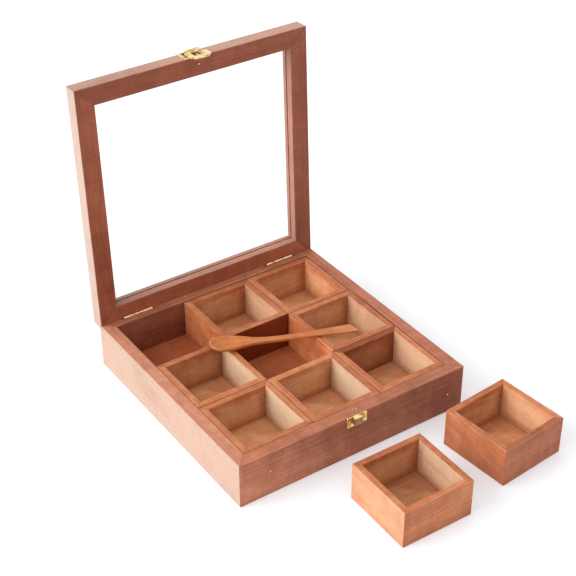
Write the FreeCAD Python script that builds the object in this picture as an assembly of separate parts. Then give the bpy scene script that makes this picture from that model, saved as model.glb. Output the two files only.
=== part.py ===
# Wooden spice box: a mitred tray with a three by three grid of loose cups, a glazed lid that stands
# open on two hinges, a brass loop and catch, and a wooden spoon across the cups.
# Millimetres. X runs to the right, Y to the back, Z up. The origin is the middle of the box's underside.
import FreeCAD
import Part
import math
import os

VEC = FreeCAD.Vector
X_AXIS = VEC(1, 0, 0)
Y_AXIS = VEC(0, 1, 0)
Z_AXIS = VEC(0, 0, 1)
OVER = 5.0  # how far a cutting shape runs past what it cuts
NEAR = 0.01  # how close a position counts as the same

# Box
box_width = 250.0
box_depth = 252.0
box_height = 47.0
box_wall = 12.2
box_ease = 0.8
panel_thickness = 7.2
panel_rebate = 6.0
panel_fit = 0.1

# Cups
columns = 3
rows = 3
cup_gap = 0.8
cup_wall = 6.2
cup_ease = 0.5
cup_floor = 3.0
cup_rebate = 3.0
cup_below_rim = 0.4
floor_fit = 0.05
empty_cells = ((0, 2), (1, 1))  # (column, row), counted from the left and from the front
# Cups on the table: middle in X, gap between box front and cup, turn in degrees
loose_cups = ((-1.3, 44.6, -0.8), (115.6, 30.9, 5.1))

# Lid
lid_thickness = 15.5
lid_member = 19.0
lid_ease = 0.8
lid_inner_ease = 0.7
lid_open = 92.4  # degrees from closed, as it stands
lid_stop_gap = 0.05  # degrees left between the stop faces
glass_thickness = 2.0
glass_inset = 8.4  # from the lid's inner face to the glass
groove_depth = 5.0
glass_fit = 0.1
glass_edge_gap = 0.5

# Hinges
hinge_centre_x = 84.0
hinge_length = 32.0
hinge_inset = 3.1  # from the back face to the pin's axis
barrel_radius = 1.25
hinge_pin_radius = 0.55
pin_fit = 0.05
middle_knuckle = 11.0
knuckle_gap = 0.3
pocket_gap = 0.3
pocket_end = 2.8
leaf_thickness = 1.2
leaf_depth = 12.0
leaf_fit = 0.1

# Catch on the front wall
catch_width = 22.0
catch_height = 11.0
catch_thickness = 0.9
catch_below_rim = 0.3
nose_width = 9.2
nose_height = 8.6
nose_reach = 4.25  # from the wall to the nose's face
nose_top_drop = 0.5
nose_ease = 0.7
screw_spread = 8.1
screw_head_radius = 1.6
screw_head = 0.8
screw_radius = 0.9
screw_length = 8.0
screw_fit = 0.05
slot_width = 0.5
slot_depth = 0.4
front_brad_radius = 0.9
front_brad_length = 10.0
front_brad_fit = 0.03
front_brad_places = ((-93.2, 26.5), (106.9, 21.2))  # x, z

# Loop on the lid's front edge
hasp_thickness = 0.9
hasp_width = 22.0
hasp_margin = 0.6
hasp_screw_spread = 4.0
hasp_screw_rise = 2.5
pivot_rise = 5.4  # above the lid's inner face
pivot_reach = 5.2  # from the lid's edge
pivot_pin_radius = 0.7
pivot_knuckle_radius = 1.6
ear_thickness = 1.6
ear_gap = 0.15
loop_thickness = 1.2
loop_width = 22.8
loop_back = 2.3  # from the pivot to the ring's back edge
loop_window_start = 4.8
loop_window_length = 10.6
loop_window_width = 10.8
loop_band = 6.0
loop_corner = 5.0
loop_window_radius = 1.2
loop_knuckle = 11.6
loop_ease = 0.35

# Locating pin
locating_x = 2.0
locating_inset = 6.4  # from the front face
locating_radius = 0.8
locating_reach = 2.6
locating_root = 7.0
locating_fit = 0.03
locating_hole_radius = 1.2
locating_hole_depth = 5.0
locating_ease = 0.3

# Spoon
spoon_turn = -20.8  # degrees in plan
spoon_left_rest_y = 23.0  # where its middle line crosses the left cup's right wall
bowl_rest = 19.1  # from the bowl's tip to that wall's middle
spoon_gap = 0.15
spoon_edge = 0.6
spoon_roundness = 2.3  # 2 is an ellipse, more is fuller
end_slant = 0.47  # how much the handle's end runs back across its width
# Distance from the tip, half width, height of the top over the handle's, thickness, and in the bowl
# the half width and depth of its hollow
spoon_sections = (
    (0.4, 3.3, 4.6, 1.5),
    (1.8, 5.9, 4.5, 2.9, 1.6, 0.15),
    (2.8, 7.1, 4.5, 3.7, 3.9, 1.5),
    (4.0, 8.3, 4.4, 4.5, 5.6, 2.5),
    (5.8, 9.3, 4.4, 5.4, 7.3, 3.6),
    (9.0, 10.4, 4.2, 6.4, 8.7, 4.6),
    (14.5, 10.9, 4.0, 7.2, 9.3, 5.2),
    (21.0, 10.4, 3.7, 7.3, 8.9, 5.2),
    (28.0, 8.9, 3.4, 6.9, 7.1, 4.3),
    (35.0, 6.9, 2.9, 6.2, 4.9, 2.6),
    (40.0, 5.6, 2.4, 5.7, 3.0, 1.2),
    (44.0, 4.8, 2.0, 5.3, 1.2, 0.15),
    (51.0, 4.0, 1.3, 4.9),
    (63.0, 3.5, 0.6, 4.5),
    (78.0, 3.6, 0.2, 4.2),
    (92.0, 3.9, 0.1, 3.9),
    (106.0, 4.4, 0.0, 3.5),
    (119.0, 5.0, 0.0, 3.2),
    (131.0, 5.5, 0.0, 3.0),
    (142.5, 5.7, 0.0, 2.9),
)
solid_mark = 1.0  # where a section with no hollow keeps the hollow's corners, to match the others

# Worked out from the sizes above
half_width = box_width / 2
half_depth = box_depth / 2
inner_width = box_width - 2 * box_wall
inner_depth = box_depth - 2 * box_wall
cup_x = (inner_width - (columns + 1) * cup_gap) / columns
cup_y = (inner_depth - (rows + 1) * cup_gap) / rows
cup_height = box_height - panel_thickness - cup_below_rim
cup_rim = panel_thickness + cup_height
hinge_y = half_depth - hinge_inset
hinge_z = box_height
stop_angle = math.radians((lid_open + lid_stop_gap) / 2)
pocket_radius = barrel_radius + pocket_gap
front_face = -half_depth


def centred_block(size_x, size_y, low, high):
    """Plain block, centred on the Z axis."""
    return Part.makeBox(size_x, size_y, high - low, VEC(-size_x / 2, -size_y / 2, low))


def span_block(x_span, y_span, z_span):
    """Plain block between pairs of limits."""
    corner = VEC(x_span[0], y_span[0], z_span[0])
    return Part.makeBox(x_span[1] - x_span[0], y_span[1] - y_span[0], z_span[1] - z_span[0], corner)


def eased_block(size_x, size_y, low, high, ease):
    """Block with all its arrises taken off."""
    block = centred_block(size_x, size_y, low, high)
    return block.makeChamfer(ease, block.Edges)


def prism_along_z(points, low, high):
    """Straight prism over a flat outline of (x, y) points."""
    corners = [VEC(x, y, low) for x, y in points]
    face = Part.Face(Part.makePolygon(corners + corners[:1]))
    return face.extrude(VEC(0, 0, high - low))


def prism_along_x(points, start, end):
    """Straight prism over a flat outline of (y, z) points."""
    corners = [VEC(start, y, z) for y, z in points]
    face = Part.Face(Part.makePolygon(corners + corners[:1]))
    return face.extrude(VEC(end - start, 0, 0))


def rod(start, direction, radius, length):
    """Round rod from a point along a direction."""
    return Part.makeCylinder(radius, length, start, direction)


def fuse_all(shapes):
    """One clean solid out of several that meet."""
    return shapes[0].multiFuse(shapes[1:]).removeSplitter()


def cut_all(shape, tools):
    """A shape with every tool taken out of it."""
    for tool in tools:
        shape = shape.cut(tool)
    return shape


def mitred_boards(frame, half_x, half_y, reach, low, high):
    """A rectangular frame taken apart on its 45 degree corner mitres, as four named boards."""
    out_x = half_x + OVER
    out_y = half_y + OVER
    in_x = half_x - reach
    in_y = half_y - reach
    outlines = {
        "front": [(-out_x, -out_y), (out_x, -out_y), (in_x, -in_y), (-in_x, -in_y)],
        "back": [(-out_x, out_y), (out_x, out_y), (in_x, in_y), (-in_x, in_y)],
        "left": [(-out_x, -out_y), (-out_x, out_y), (-in_x, in_y), (-in_x, -in_y)],
        "right": [(out_x, -out_y), (out_x, out_y), (in_x, in_y), (in_x, -in_y)],
    }
    return {
        side: frame.common(prism_along_z(points, low - OVER, high + OVER))
        for side, points in outlines.items()
    }


def tray_frame(size_x, size_y, height, wall, ease, floor, rebate):
    """Four walls in one piece, with a rebate below for the floor."""
    frame = eased_block(size_x, size_y, 0, height, ease)
    inside_x = size_x - 2 * wall
    inside_y = size_y - 2 * wall
    frame = frame.cut(centred_block(inside_x, inside_y, -OVER, height + OVER))
    return frame.cut(centred_block(inside_x + 2 * rebate, inside_y + 2 * rebate, -OVER, floor))


def tray_floor(size_x, size_y, wall, floor, rebate, fit):
    """The board that fills a tray's rebate, flush below."""
    spread = 2 * (rebate - fit - wall)
    return centred_block(size_x + spread, size_y + spread, 0, floor)


def hinge_rod(radius, start_x, end_x):
    """Round bar on the hinge line."""
    return rod(VEC(start_x, hinge_y, hinge_z), X_AXIS, radius, end_x - start_x)


def hinge_spans(centre_x):
    """Where one hinge's left, middle and right knuckles begin and end."""
    start = centre_x - hinge_length / 2
    end = centre_x + hinge_length / 2
    middle_start = centre_x - middle_knuckle / 2
    middle_end = centre_x + middle_knuckle / 2
    return (
        (start, middle_start - knuckle_gap / 2),
        (middle_start + knuckle_gap / 2, middle_end - knuckle_gap / 2),
        (middle_end + knuckle_gap / 2, end),
    )


def hinge_leaf(centre_x, knuckles, upward):
    """Half a hinge: its knuckles, and its leaf down into the box or up into the closed lid."""
    side = 1 if upward else -1
    y_span = (hinge_y - leaf_thickness / 2, hinge_y + leaf_thickness / 2)
    near = hinge_z + side * pocket_radius
    far = hinge_z + side * leaf_depth
    x_span = (centre_x - hinge_length / 2, centre_x + hinge_length / 2)
    pieces = [span_block(x_span, y_span, (min(near, far), max(near, far)))]
    for start, end in knuckles:
        pieces.append(span_block((start, end), y_span, (min(hinge_z, near), max(hinge_z, near))))
        pieces.append(hinge_rod(barrel_radius, start, end))
    bore = hinge_rod(hinge_pin_radius + pin_fit, x_span[0] - OVER, x_span[1] + OVER)
    return fuse_all(pieces).cut(bore)


def hinge_recess(centre_x, upward):
    """What a hinge takes out of the wall or the lid: the barrel's pocket and the leaf's saw cut."""
    side = 1 if upward else -1
    half = hinge_length / 2
    pocket = hinge_rod(pocket_radius, centre_x - half - pocket_end, centre_x + half + pocket_end)
    y_span = (hinge_y - leaf_thickness / 2 - leaf_fit, hinge_y + leaf_thickness / 2 + leaf_fit)
    far = hinge_z + side * (leaf_depth + leaf_fit)
    z_span = (min(hinge_z, far), max(hinge_z, far))
    kerf = span_block((centre_x - half - leaf_fit, centre_x + half + leaf_fit), y_span, z_span)
    return [pocket, kerf]


def stop_chamfer(upward):
    """Wedge off the back arris: box and lid lean on these two faces when the lid stands open."""
    side = 1 if upward else -1
    run = hinge_inset + OVER
    drop = side * run * math.tan(stop_angle)
    points = [(hinge_y, hinge_z), (hinge_y + run, hinge_z), (hinge_y + run, hinge_z + drop)]
    return prism_along_x(points, -half_width - OVER, half_width + OVER)


def face_screw(x, z, face_y):
    """Slotted round-head screw whose head sits on a plate, at a face that looks forward."""
    head = rod(VEC(x, face_y, z), -Y_AXIS, screw_head_radius, screw_head)
    outer = [edge for edge in head.Edges if edge.BoundBox.YMax < face_y - screw_head + NEAR]
    head = head.makeChamfer(screw_head / 2, outer)
    shank = rod(VEC(x, face_y - screw_head / 2, z), Y_AXIS, screw_radius, screw_length)
    slot_front = face_y - screw_head
    slot = span_block(
        (x - screw_head_radius, x + screw_head_radius),
        (slot_front - OVER, slot_front + slot_depth),
        (z - slot_width / 2, z + slot_width / 2),
    )
    return fuse_all([head, shank]).cut(slot)


def screw_hole(x, z, face_y):
    """Hole for a face screw."""
    return rod(VEC(x, face_y - OVER, z), Y_AXIS, screw_radius + screw_fit, screw_length + OVER)


def catch_screw_places():
    """Where the catch's two screws go: (x, z)."""
    z = box_height - catch_below_rim - catch_height / 2
    return [(-screw_spread, z), (screw_spread, z)]


def hasp_screw_places():
    """Where the hasp plate's two screws go on the closed lid: (x, z)."""
    z = box_height + hasp_screw_rise
    return [(-hasp_screw_spread, z), (hasp_screw_spread, z)]


def front_brads(extra):
    """Two brads in the front wall. Extra widens them into holes."""
    return [
        rod(VEC(x, front_face, z), Y_AXIS, front_brad_radius + extra, front_brad_length + extra)
        for x, z in front_brad_places
    ]


def box_nodes():
    """The tray with its base panel, fixed hinge halves, catch and small fasteners."""
    frame = tray_frame(
        box_width, box_depth, box_height, box_wall, box_ease, panel_thickness, panel_rebate
    )
    frame = frame.cut(stop_chamfer(False))
    for centre_x in (-hinge_centre_x, hinge_centre_x):
        frame = cut_all(frame, hinge_recess(centre_x, False))
    frame = cut_all(frame, [screw_hole(x, z, front_face) for x, z in catch_screw_places()])
    frame = cut_all(frame, front_brads(front_brad_fit))
    hole_top = VEC(locating_x, front_face + locating_inset, box_height)
    frame = frame.cut(rod(hole_top, -Z_AXIS, locating_hole_radius, locating_hole_depth))
    reach = box_wall + panel_rebate
    boards = mitred_boards(frame, half_width, half_depth, reach, 0, box_height)
    nodes = {side + "_wall": board for side, board in boards.items()}
    nodes["base_panel"] = tray_floor(
        box_width, box_depth, box_wall, panel_thickness, panel_rebate, panel_fit
    )
    for side, centre_x in (("left", -hinge_centre_x), ("right", hinge_centre_x)):
        spans = hinge_spans(centre_x)
        nodes[side + "_base_leaf"] = hinge_leaf(centre_x, (spans[0], spans[2]), False)
        nodes[side + "_hinge_pin"] = hinge_rod(hinge_pin_radius, spans[0][0], spans[2][1])
    nodes["catch_plate"] = catch_plate()
    plate_face = front_face - catch_thickness
    nodes["catch_screws"] = Part.makeCompound(
        [face_screw(x, z, plate_face) for x, z in catch_screw_places()]
    )
    nodes["front_brads"] = Part.makeCompound(front_brads(0))
    return nodes


def catch_plate():
    """Plate on the front wall with the raised nose that the loop's window drops over."""
    top = box_height - catch_below_rim
    plate = span_block(
        (-catch_width / 2, catch_width / 2),
        (front_face - catch_thickness, front_face),
        (top - catch_height, top),
    )
    nose_top = top - nose_top_drop
    nose_front = front_face - nose_reach
    nose = span_block(
        (-nose_width / 2, nose_width / 2),
        (nose_front, front_face),
        (nose_top - nose_height, nose_top),
    )
    face_edges = [edge for edge in nose.Edges if edge.BoundBox.YMax < nose_front + NEAR]
    nose = nose.makeChamfer(nose_ease, face_edges)
    plate = fuse_all([plate, nose])
    return cut_all(plate, [screw_hole(x, z, front_face) for x, z in catch_screw_places()])


def opened(shape):
    """A piece of the closed lid, turned up to where the lid stands."""
    turned = shape.copy()
    turned.rotate(VEC(0, hinge_y, hinge_z), X_AXIS, -lid_open)
    return turned


def lid_frame():
    """The closed lid's four members in one piece: opening, glass groove, stop faces and recesses."""
    low = box_height
    high = box_height + lid_thickness
    frame = eased_block(box_width, box_depth, low, high, lid_ease)
    open_x = box_width - 2 * lid_member
    open_y = box_depth - 2 * lid_member
    frame = frame.cut(centred_block(open_x, open_y, low - OVER, high + OVER))
    inner_arris = [
        edge
        for edge in frame.Edges
        if edge.BoundBox.ZMax < low + NEAR
        and abs(edge.CenterOfMass.x) < open_x / 2 + NEAR
        and abs(edge.CenterOfMass.y) < open_y / 2 + NEAR
    ]
    frame = frame.makeChamfer(lid_inner_ease, inner_arris)
    groove_low = low + glass_inset - glass_fit
    groove_high = groove_low + glass_thickness + 2 * glass_fit
    groove = centred_block(open_x + 2 * groove_depth, open_y + 2 * groove_depth, groove_low, groove_high)
    tools = [groove, stop_chamfer(True)]
    for centre_x in (-hinge_centre_x, hinge_centre_x):
        tools += hinge_recess(centre_x, True)
    tools += [screw_hole(x, z, front_face) for x, z in hasp_screw_places()]
    tools.append(locating_root_rod(locating_fit))
    return cut_all(frame, tools)


def locating_root_rod(extra):
    """The part of the locating pin that sits in the lid's front rail."""
    start = VEC(locating_x, front_face + locating_inset, box_height)
    return rod(start, Z_AXIS, locating_radius + extra, locating_root + extra)


def locating_pin():
    """Pin in the closed lid that drops into its hole in the front wall."""
    start = VEC(locating_x, front_face + locating_inset, box_height - locating_reach)
    pin = rod(start, Z_AXIS, locating_radius, locating_reach + locating_root)
    tip = [edge for edge in pin.Edges if edge.BoundBox.ZMax < start.z + NEAR]
    return pin.makeChamfer(locating_ease, tip)


def lid_nodes():
    """The lid as it stands open: members, glass, moving hinge halves, locating pin and hasp plate."""
    high = box_height + lid_thickness
    boards = mitred_boards(
        lid_frame(), half_width, half_depth, lid_member + groove_depth, box_height, high
    )
    closed = {
        "lid_front_rail": boards["front"],
        "lid_back_rail": boards["back"],
        "lid_left_stile": boards["left"],
        "lid_right_stile": boards["right"],
    }
    pane_spread = 2 * (groove_depth - glass_edge_gap - lid_member)
    pane_low = box_height + glass_inset
    closed["glass_pane"] = centred_block(
        box_width + pane_spread, box_depth + pane_spread, pane_low, pane_low + glass_thickness
    )
    for side, centre_x in (("left", -hinge_centre_x), ("right", hinge_centre_x)):
        middle = hinge_spans(centre_x)[1]
        closed[side + "_lid_leaf"] = hinge_leaf(centre_x, (middle,), True)
    closed["locating_pin"] = locating_pin()
    closed["hasp_plate"] = hasp_plate()
    ear_reach = loop_knuckle / 2 + ear_gap + ear_thickness
    closed["hasp_pin"] = rod(pivot_point(-ear_reach), X_AXIS, pivot_pin_radius, 2 * ear_reach)
    plate_face = front_face - hasp_thickness
    closed["hasp_screws"] = Part.makeCompound(
        [face_screw(x, z, plate_face) for x, z in hasp_screw_places()]
    )
    return {name: opened(shape) for name, shape in closed.items()}


def pivot_point(x):
    """A point on the loop's axis while the lid is closed."""
    return VEC(x, front_face - pivot_reach, box_height + pivot_rise)


def hasp_plate():
    """Plate on the closed lid's front edge, with two ears that hold the loop's pin."""
    low = box_height + hasp_margin
    high = box_height + lid_thickness - hasp_margin
    pieces = [
        span_block(
            (-hasp_width / 2, hasp_width / 2), (front_face - hasp_thickness, front_face), (low, high)
        )
    ]
    axis_z = box_height + pivot_rise
    for side in (-1, 1):
        inner = side * (loop_knuckle / 2 + ear_gap)
        outer = inner + side * ear_thickness
        x_span = (min(inner, outer), max(inner, outer))
        pieces.append(
            span_block(
                x_span,
                (front_face - pivot_reach, front_face - hasp_thickness / 2),
                (axis_z - pivot_knuckle_radius, axis_z + pivot_knuckle_radius),
            )
        )
        pieces.append(rod(pivot_point(x_span[0]), X_AXIS, pivot_knuckle_radius, ear_thickness))
    plate = fuse_all(pieces)
    tools = [rod(pivot_point(-hasp_width), X_AXIS, pivot_pin_radius, 2 * hasp_width)]
    tools += [screw_hole(x, z, front_face) for x, z in hasp_screw_places()]
    return cut_all(plate, tools)


def hasp_loop():
    """Eight-sided ring with a window, hanging from its knuckle in the plane of the closed front."""
    axis = pivot_point(0)
    half = loop_width / 2
    window_end = loop_window_start + loop_window_length
    free_end = window_end + loop_band
    outline = [
        (-half + loop_corner, -loop_back),
        (-half, -loop_back - loop_corner),
        (-half, -free_end + loop_corner),
        (-half + loop_corner, -free_end),
        (half - loop_corner, -free_end),
        (half, -free_end + loop_corner),
        (half, -loop_back - loop_corner),
        (half - loop_corner, -loop_back),
    ]
    back = axis.y + loop_thickness / 2
    front = axis.y - loop_thickness / 2
    corners = [VEC(x, front, axis.z + z) for x, z in outline]
    ring = Part.Face(Part.makePolygon(corners + corners[:1])).extrude(VEC(0, loop_thickness, 0))
    front_edges = [edge for edge in ring.Edges if edge.BoundBox.YMax < front + NEAR]
    ring = ring.makeChamfer(loop_ease, front_edges)
    window = span_block(
        (-loop_window_width / 2, loop_window_width / 2),
        (front - OVER, back + OVER),
        (axis.z - window_end, axis.z - loop_window_start),
    )
    corner_edges = [edge for edge in window.Edges if edge.BoundBox.YLength > loop_thickness]
    window = window.makeFillet(loop_window_radius, corner_edges)
    neck_low = axis.z - (loop_back + loop_window_start) / 2
    neck = span_block((-loop_knuckle / 2, loop_knuckle / 2), (front, back), (neck_low, axis.z))
    knuckle = rod(pivot_point(-loop_knuckle / 2), X_AXIS, pivot_knuckle_radius, loop_knuckle)
    loop = fuse_all([ring.cut(window), neck, knuckle])
    bore = rod(pivot_point(-loop_width), X_AXIS, pivot_pin_radius + pin_fit, 2 * loop_width)
    return opened(loop.cut(bore))


def cup_places():
    """Each cup's middle, height and turn: rows from the front, then the cups on the table."""
    places = []
    for row in range(rows):
        for column in range(columns):
            if (column, row) not in empty_cells:
                x = (column - (columns - 1) / 2) * (cup_x + cup_gap)
                y = (row - (rows - 1) / 2) * (cup_y + cup_gap)
                places.append((x, y, panel_thickness, 0.0))
    for x, gap, turn in loose_cups:
        places.append((x, front_face - gap - cup_y / 2, 0.0, turn))
    return places


def cup_nodes():
    """Every cup as two pairs of mitred walls and a floor."""
    frame = tray_frame(cup_x, cup_y, cup_height, cup_wall, cup_ease, cup_floor, cup_rebate)
    boards = mitred_boards(frame, cup_x / 2, cup_y / 2, cup_wall + cup_rebate, 0, cup_height)
    pieces = {
        "sides": Part.makeCompound([boards["left"], boards["right"]]),
        "ends": Part.makeCompound([boards["front"], boards["back"]]),
        "floor": tray_floor(cup_x, cup_y, cup_wall, cup_floor, cup_rebate, floor_fit),
    }
    nodes = {}
    for number, (x, y, z, turn) in enumerate(cup_places(), start=1):
        for part_name, piece in pieces.items():
            placed = piece.copy()
            placed.rotate(VEC(0, 0, 0), Z_AXIS, turn)
            placed.translate(VEC(x, y, z))
            nodes[f"cup_{number}_{part_name}"] = placed
    return nodes


def under_points(distance, half, high, depth, slant):
    """Points along the rounded underside of one cross-section, from positive Y to negative."""
    points = []
    for angle in (0, 24, 48, 90, 132, 156, 180):
        cosine = math.cos(math.radians(angle))
        across = math.copysign(abs(cosine) ** (2 / spoon_roundness), cosine)
        down = (1 - abs(across) ** spoon_roundness) ** (1 / spoon_roundness)
        points.append(VEC(distance - slant * half * across, half * across, high - depth * down))
    return points


def spoon_section(distance, half, top, thickness, hollow_half=solid_mark, hollow_depth=0.0, slant=0.0):
    """Outline across the spoon: rounded underside, eased rims, and the hollow or a flat top."""

    def on_top(y, depth=0.0):
        return VEC(distance - slant * y, y, top - depth)

    flat = half - spoon_edge
    under = under_points(distance, half, top - spoon_edge, thickness - spoon_edge, slant)
    near = on_top(-hollow_half)
    far = on_top(hollow_half)
    if hollow_depth:
        hollow = Part.Arc(near, on_top(0, hollow_depth), far).toShape()
    else:
        hollow = Part.makeLine(near, far)
    edges = [Part.Arc(*under[start : start + 3]).toShape() for start in (0, 2, 4)]
    edges += Part.makePolygon([under[-1], on_top(-flat), near]).Edges
    edges += [hollow]
    edges += Part.makePolygon([far, on_top(flat), under[0]]).Edges
    return Part.Wire(edges)


def spoon_underside(distance):
    """Height of the spoon's lowest line at a distance from its tip."""
    for near, far in zip(spoon_sections, spoon_sections[1:]):
        if near[0] <= distance <= far[0]:
            share = (distance - near[0]) / (far[0] - near[0])
            near_low = near[2] - near[3]
            far_low = far[2] - far[3]
            return near_low + (far_low - near_low) * share
    return spoon_sections[-1][2] - spoon_sections[-1][3]


def spoon():
    """The spoon, its bowl on the left middle cup's wall and its handle on the right one's."""
    sections = [spoon_section(*section) for section in spoon_sections[:-1]]
    sections.append(spoon_section(*spoon_sections[-1], slant=end_slant))
    body = Part.makeLoft(sections, True, True)
    wall_middle = cup_x / 2 + cup_gap - (cup_gap - cup_wall) / 2
    span = 2 * wall_middle / math.cos(math.radians(spoon_turn))
    left_low = spoon_underside(bowl_rest)
    right_low = spoon_underside(bowl_rest + span)
    pitch = math.degrees(math.atan((right_low - left_low) / span))
    body.translate(VEC(-bowl_rest, 0, -left_low))
    body.rotate(VEC(0, 0, 0), Y_AXIS, pitch)
    body.rotate(VEC(0, 0, 0), Z_AXIS, spoon_turn)
    body.translate(VEC(-wall_middle, spoon_left_rest_y, cup_rim + spoon_gap))
    return body


def main():
    nodes = {}
    nodes.update(box_nodes())
    nodes.update(lid_nodes())
    nodes["hasp_loop"] = hasp_loop()
    nodes.update(cup_nodes())
    nodes["spoon"] = spoon()
    os.makedirs("parts", exist_ok=True)
    for name, shape in nodes.items():
        shape.exportStep(f"parts/{name}.step")
    print(len(nodes), "nodes")


main()
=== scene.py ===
"""Looks of a wooden spice box: mitred tray, nine loose cups, glazed lid, brass hardware and a spoon.

Every wooden piece, the catch plate, hasp plate, loop and brad heads are surfaces worked out here
in metres, in the frame's own place; the hinge leaves, pins and screws are the imported nodes with
a new finish. X runs to the right, Y to the back, Z up.
"""

import logging
import math
import zlib
from collections.abc import Callable
from dataclasses import dataclass, field
from enum import Enum

import bpy
import numpy as np
from mathutils import Matrix, Vector


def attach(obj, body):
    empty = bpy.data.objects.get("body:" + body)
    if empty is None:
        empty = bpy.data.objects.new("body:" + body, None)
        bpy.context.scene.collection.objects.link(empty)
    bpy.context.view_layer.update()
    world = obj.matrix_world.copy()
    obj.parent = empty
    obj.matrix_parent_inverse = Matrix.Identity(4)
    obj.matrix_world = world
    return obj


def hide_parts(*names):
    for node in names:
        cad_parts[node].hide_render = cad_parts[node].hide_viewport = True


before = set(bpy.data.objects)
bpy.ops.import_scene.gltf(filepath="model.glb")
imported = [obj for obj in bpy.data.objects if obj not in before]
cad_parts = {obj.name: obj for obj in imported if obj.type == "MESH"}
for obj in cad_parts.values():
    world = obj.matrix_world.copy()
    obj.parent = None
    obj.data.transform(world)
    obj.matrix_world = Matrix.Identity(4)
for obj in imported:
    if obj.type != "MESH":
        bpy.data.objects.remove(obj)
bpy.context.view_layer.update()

MM = 0.001
Colour = tuple[float, float, float]
Number = float | bpy.types.NodeSocket
log = logging.getLogger("spice_box")


def tint(red: float, green: float, blue: float) -> Colour:
    """Screen colour from 0 to 255 turned into the linear colour that shaders take."""
    parts = np.array((red, green, blue), float) / 255
    linear = np.where(parts <= 0.04045, parts / 12.92, ((parts + 0.055) / 1.055) ** 2.4)
    return tuple(float(part) for part in linear)


# Shapes


@dataclass
class Shell:
    """A closed surface with what each of its points carries for the finishes.

    Grain is the point's place in its own board: along, across and through the fibres. Tone makes a
    board paler or darker, and on faces that face the lamp or lie in shade it is painted light and
    shade. Bare is how unfinished the wood is, wear marks the arrises, and seam is the distance to
    the nearest joint in millimetres, or -1 inside a hole or pocket; on raw wood near a joint and
    inside holes and pockets the finish paints shade by it.
    """

    points: np.ndarray
    quads: np.ndarray
    caps: list[np.ndarray]
    grain: np.ndarray
    marks: dict[str, np.ndarray]

    def moved(self, matrix: Matrix) -> "Shell":
        """The same surface carried to another place, its grain with it.

        Args:
            matrix: Rotation and translation, in metres.
        Returns:
            A new shell that shares the faces and the marks.
        """
        turn = np.array(matrix)
        points = self.points @ turn[:3, :3].T + turn[:3, 3]
        return Shell(points, self.quads, self.caps, self.grain, self.marks)


def signed_volume(points: np.ndarray, quads: np.ndarray, caps: list[np.ndarray]) -> float:
    """Six times the volume that the faces enclose: above zero when they point outwards."""
    fans = [np.stack((np.full(len(cap) - 2, cap[0]), cap[1:-1], cap[2:]), 1) for cap in caps]
    triangles = np.concatenate([quads[:, [0, 1, 2]], quads[:, [0, 2, 3]], *fans])
    one, two, three = (points[triangles[:, corner]] for corner in range(3))
    return float(np.einsum("ij,ij->i", one, np.cross(two, three)).sum())


def grid_shell(
    points: np.ndarray,
    grain: np.ndarray | None = None,
    marks: dict[str, np.ndarray] | None = None,
    ends: bool = True,
) -> Shell:
    """Joins a grid of points, closed around its second index, into a shell.

    Args:
        points: Grid of rows by columns by 3, in metres. Each row is one closed outline.
        grain: Place in the board for each point, or the point itself.
        marks: Named number for each point.
        ends: True closes the first and last rows with a cap, False joins the last row to the first.
    Returns:
        The shell, with its faces turned outwards.
    """
    rows, columns = points.shape[:2]
    index = np.arange(rows * columns).reshape(rows, columns)
    beside = np.roll(index, -1, 1)
    above = index[1:] if ends else np.roll(index, -1, 0)
    here = index[:-1] if ends else index
    here_beside = beside[:-1] if ends else beside
    above_beside = np.roll(above, -1, 1)
    quads = np.stack((here, here_beside, above_beside, above), -1).reshape(-1, 4)
    caps = [index[0][::-1], index[-1]] if ends else []
    flat = points.reshape(-1, 3)
    if signed_volume(flat - flat.mean(0), quads, caps) < 0:
        quads = quads[:, ::-1]
        caps = [cap[::-1] for cap in caps]
    grain = points if grain is None else grain
    flat_marks = {name: values.reshape(-1) for name, values in (marks or {}).items()}
    return Shell(flat, quads, caps, grain.reshape(-1, 3), flat_marks)


def rounded_path(corners: np.ndarray, radii: np.ndarray, steps: int = 3, margin: float = 0.25) -> np.ndarray:
    """Closed outline whose square corners are quarter circles between two nearby straight points.

    A corner's arc is its centre, one radius in along both sides, less the two side directions times
    the cosine and the sine of an angle that runs over a quarter turn.

    Args:
        corners: Corner points in order, in millimetres.
        radii: Radius at each corner.
        steps: Straight pieces in each arc.
        margin: How far beyond an arc its straight point lies, as a share of the radius.
    Returns:
        Rows of two coordinates and 1 on the arc, 0 on the straight points.
    """
    corners = np.asarray(corners, float)
    radii = np.asarray(radii, float)[:, None]
    back = np.roll(corners, 1, 0) - corners
    ahead = np.roll(corners, -1, 0) - corners
    back /= np.linalg.norm(back, axis=1, keepdims=True)
    ahead /= np.linalg.norm(ahead, axis=1, keepdims=True)
    angle = np.linspace(0, math.pi / 2, steps + 1)[None, :, None]
    centre = (corners + radii * (back + ahead))[:, None]
    reach = radii[:, None]
    arc = centre - reach * (ahead[:, None] * np.cos(angle) + back[:, None] * np.sin(angle))
    before = (corners + radii * (1 + margin) * back)[:, None]
    after = (corners + radii * (1 + margin) * ahead)[:, None]
    places = np.concatenate((before, arc, after), 1)
    worn = np.ones(places.shape[:2] + (1,))
    worn[:, [0, -1]] = 0
    return np.concatenate((places, worn), 2).reshape(-1, 3)


def densified(path: np.ndarray, step: float) -> np.ndarray:
    """The same closed outline with extra points, evenly spaced, on every piece longer than a step."""
    following = np.roll(path, -1, 0)
    lengths = np.linalg.norm((following - path)[:, :2], axis=1)
    counts = np.maximum(np.ceil(lengths / step).astype(int), 1)
    owner = np.repeat(np.arange(len(path)), counts)
    first = np.repeat(np.cumsum(counts) - counts, counts)
    share = ((np.arange(len(owner)) - first) / counts[owner])[:, None]
    return path[owner] * (1 - share) + following[owner] * share


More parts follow.
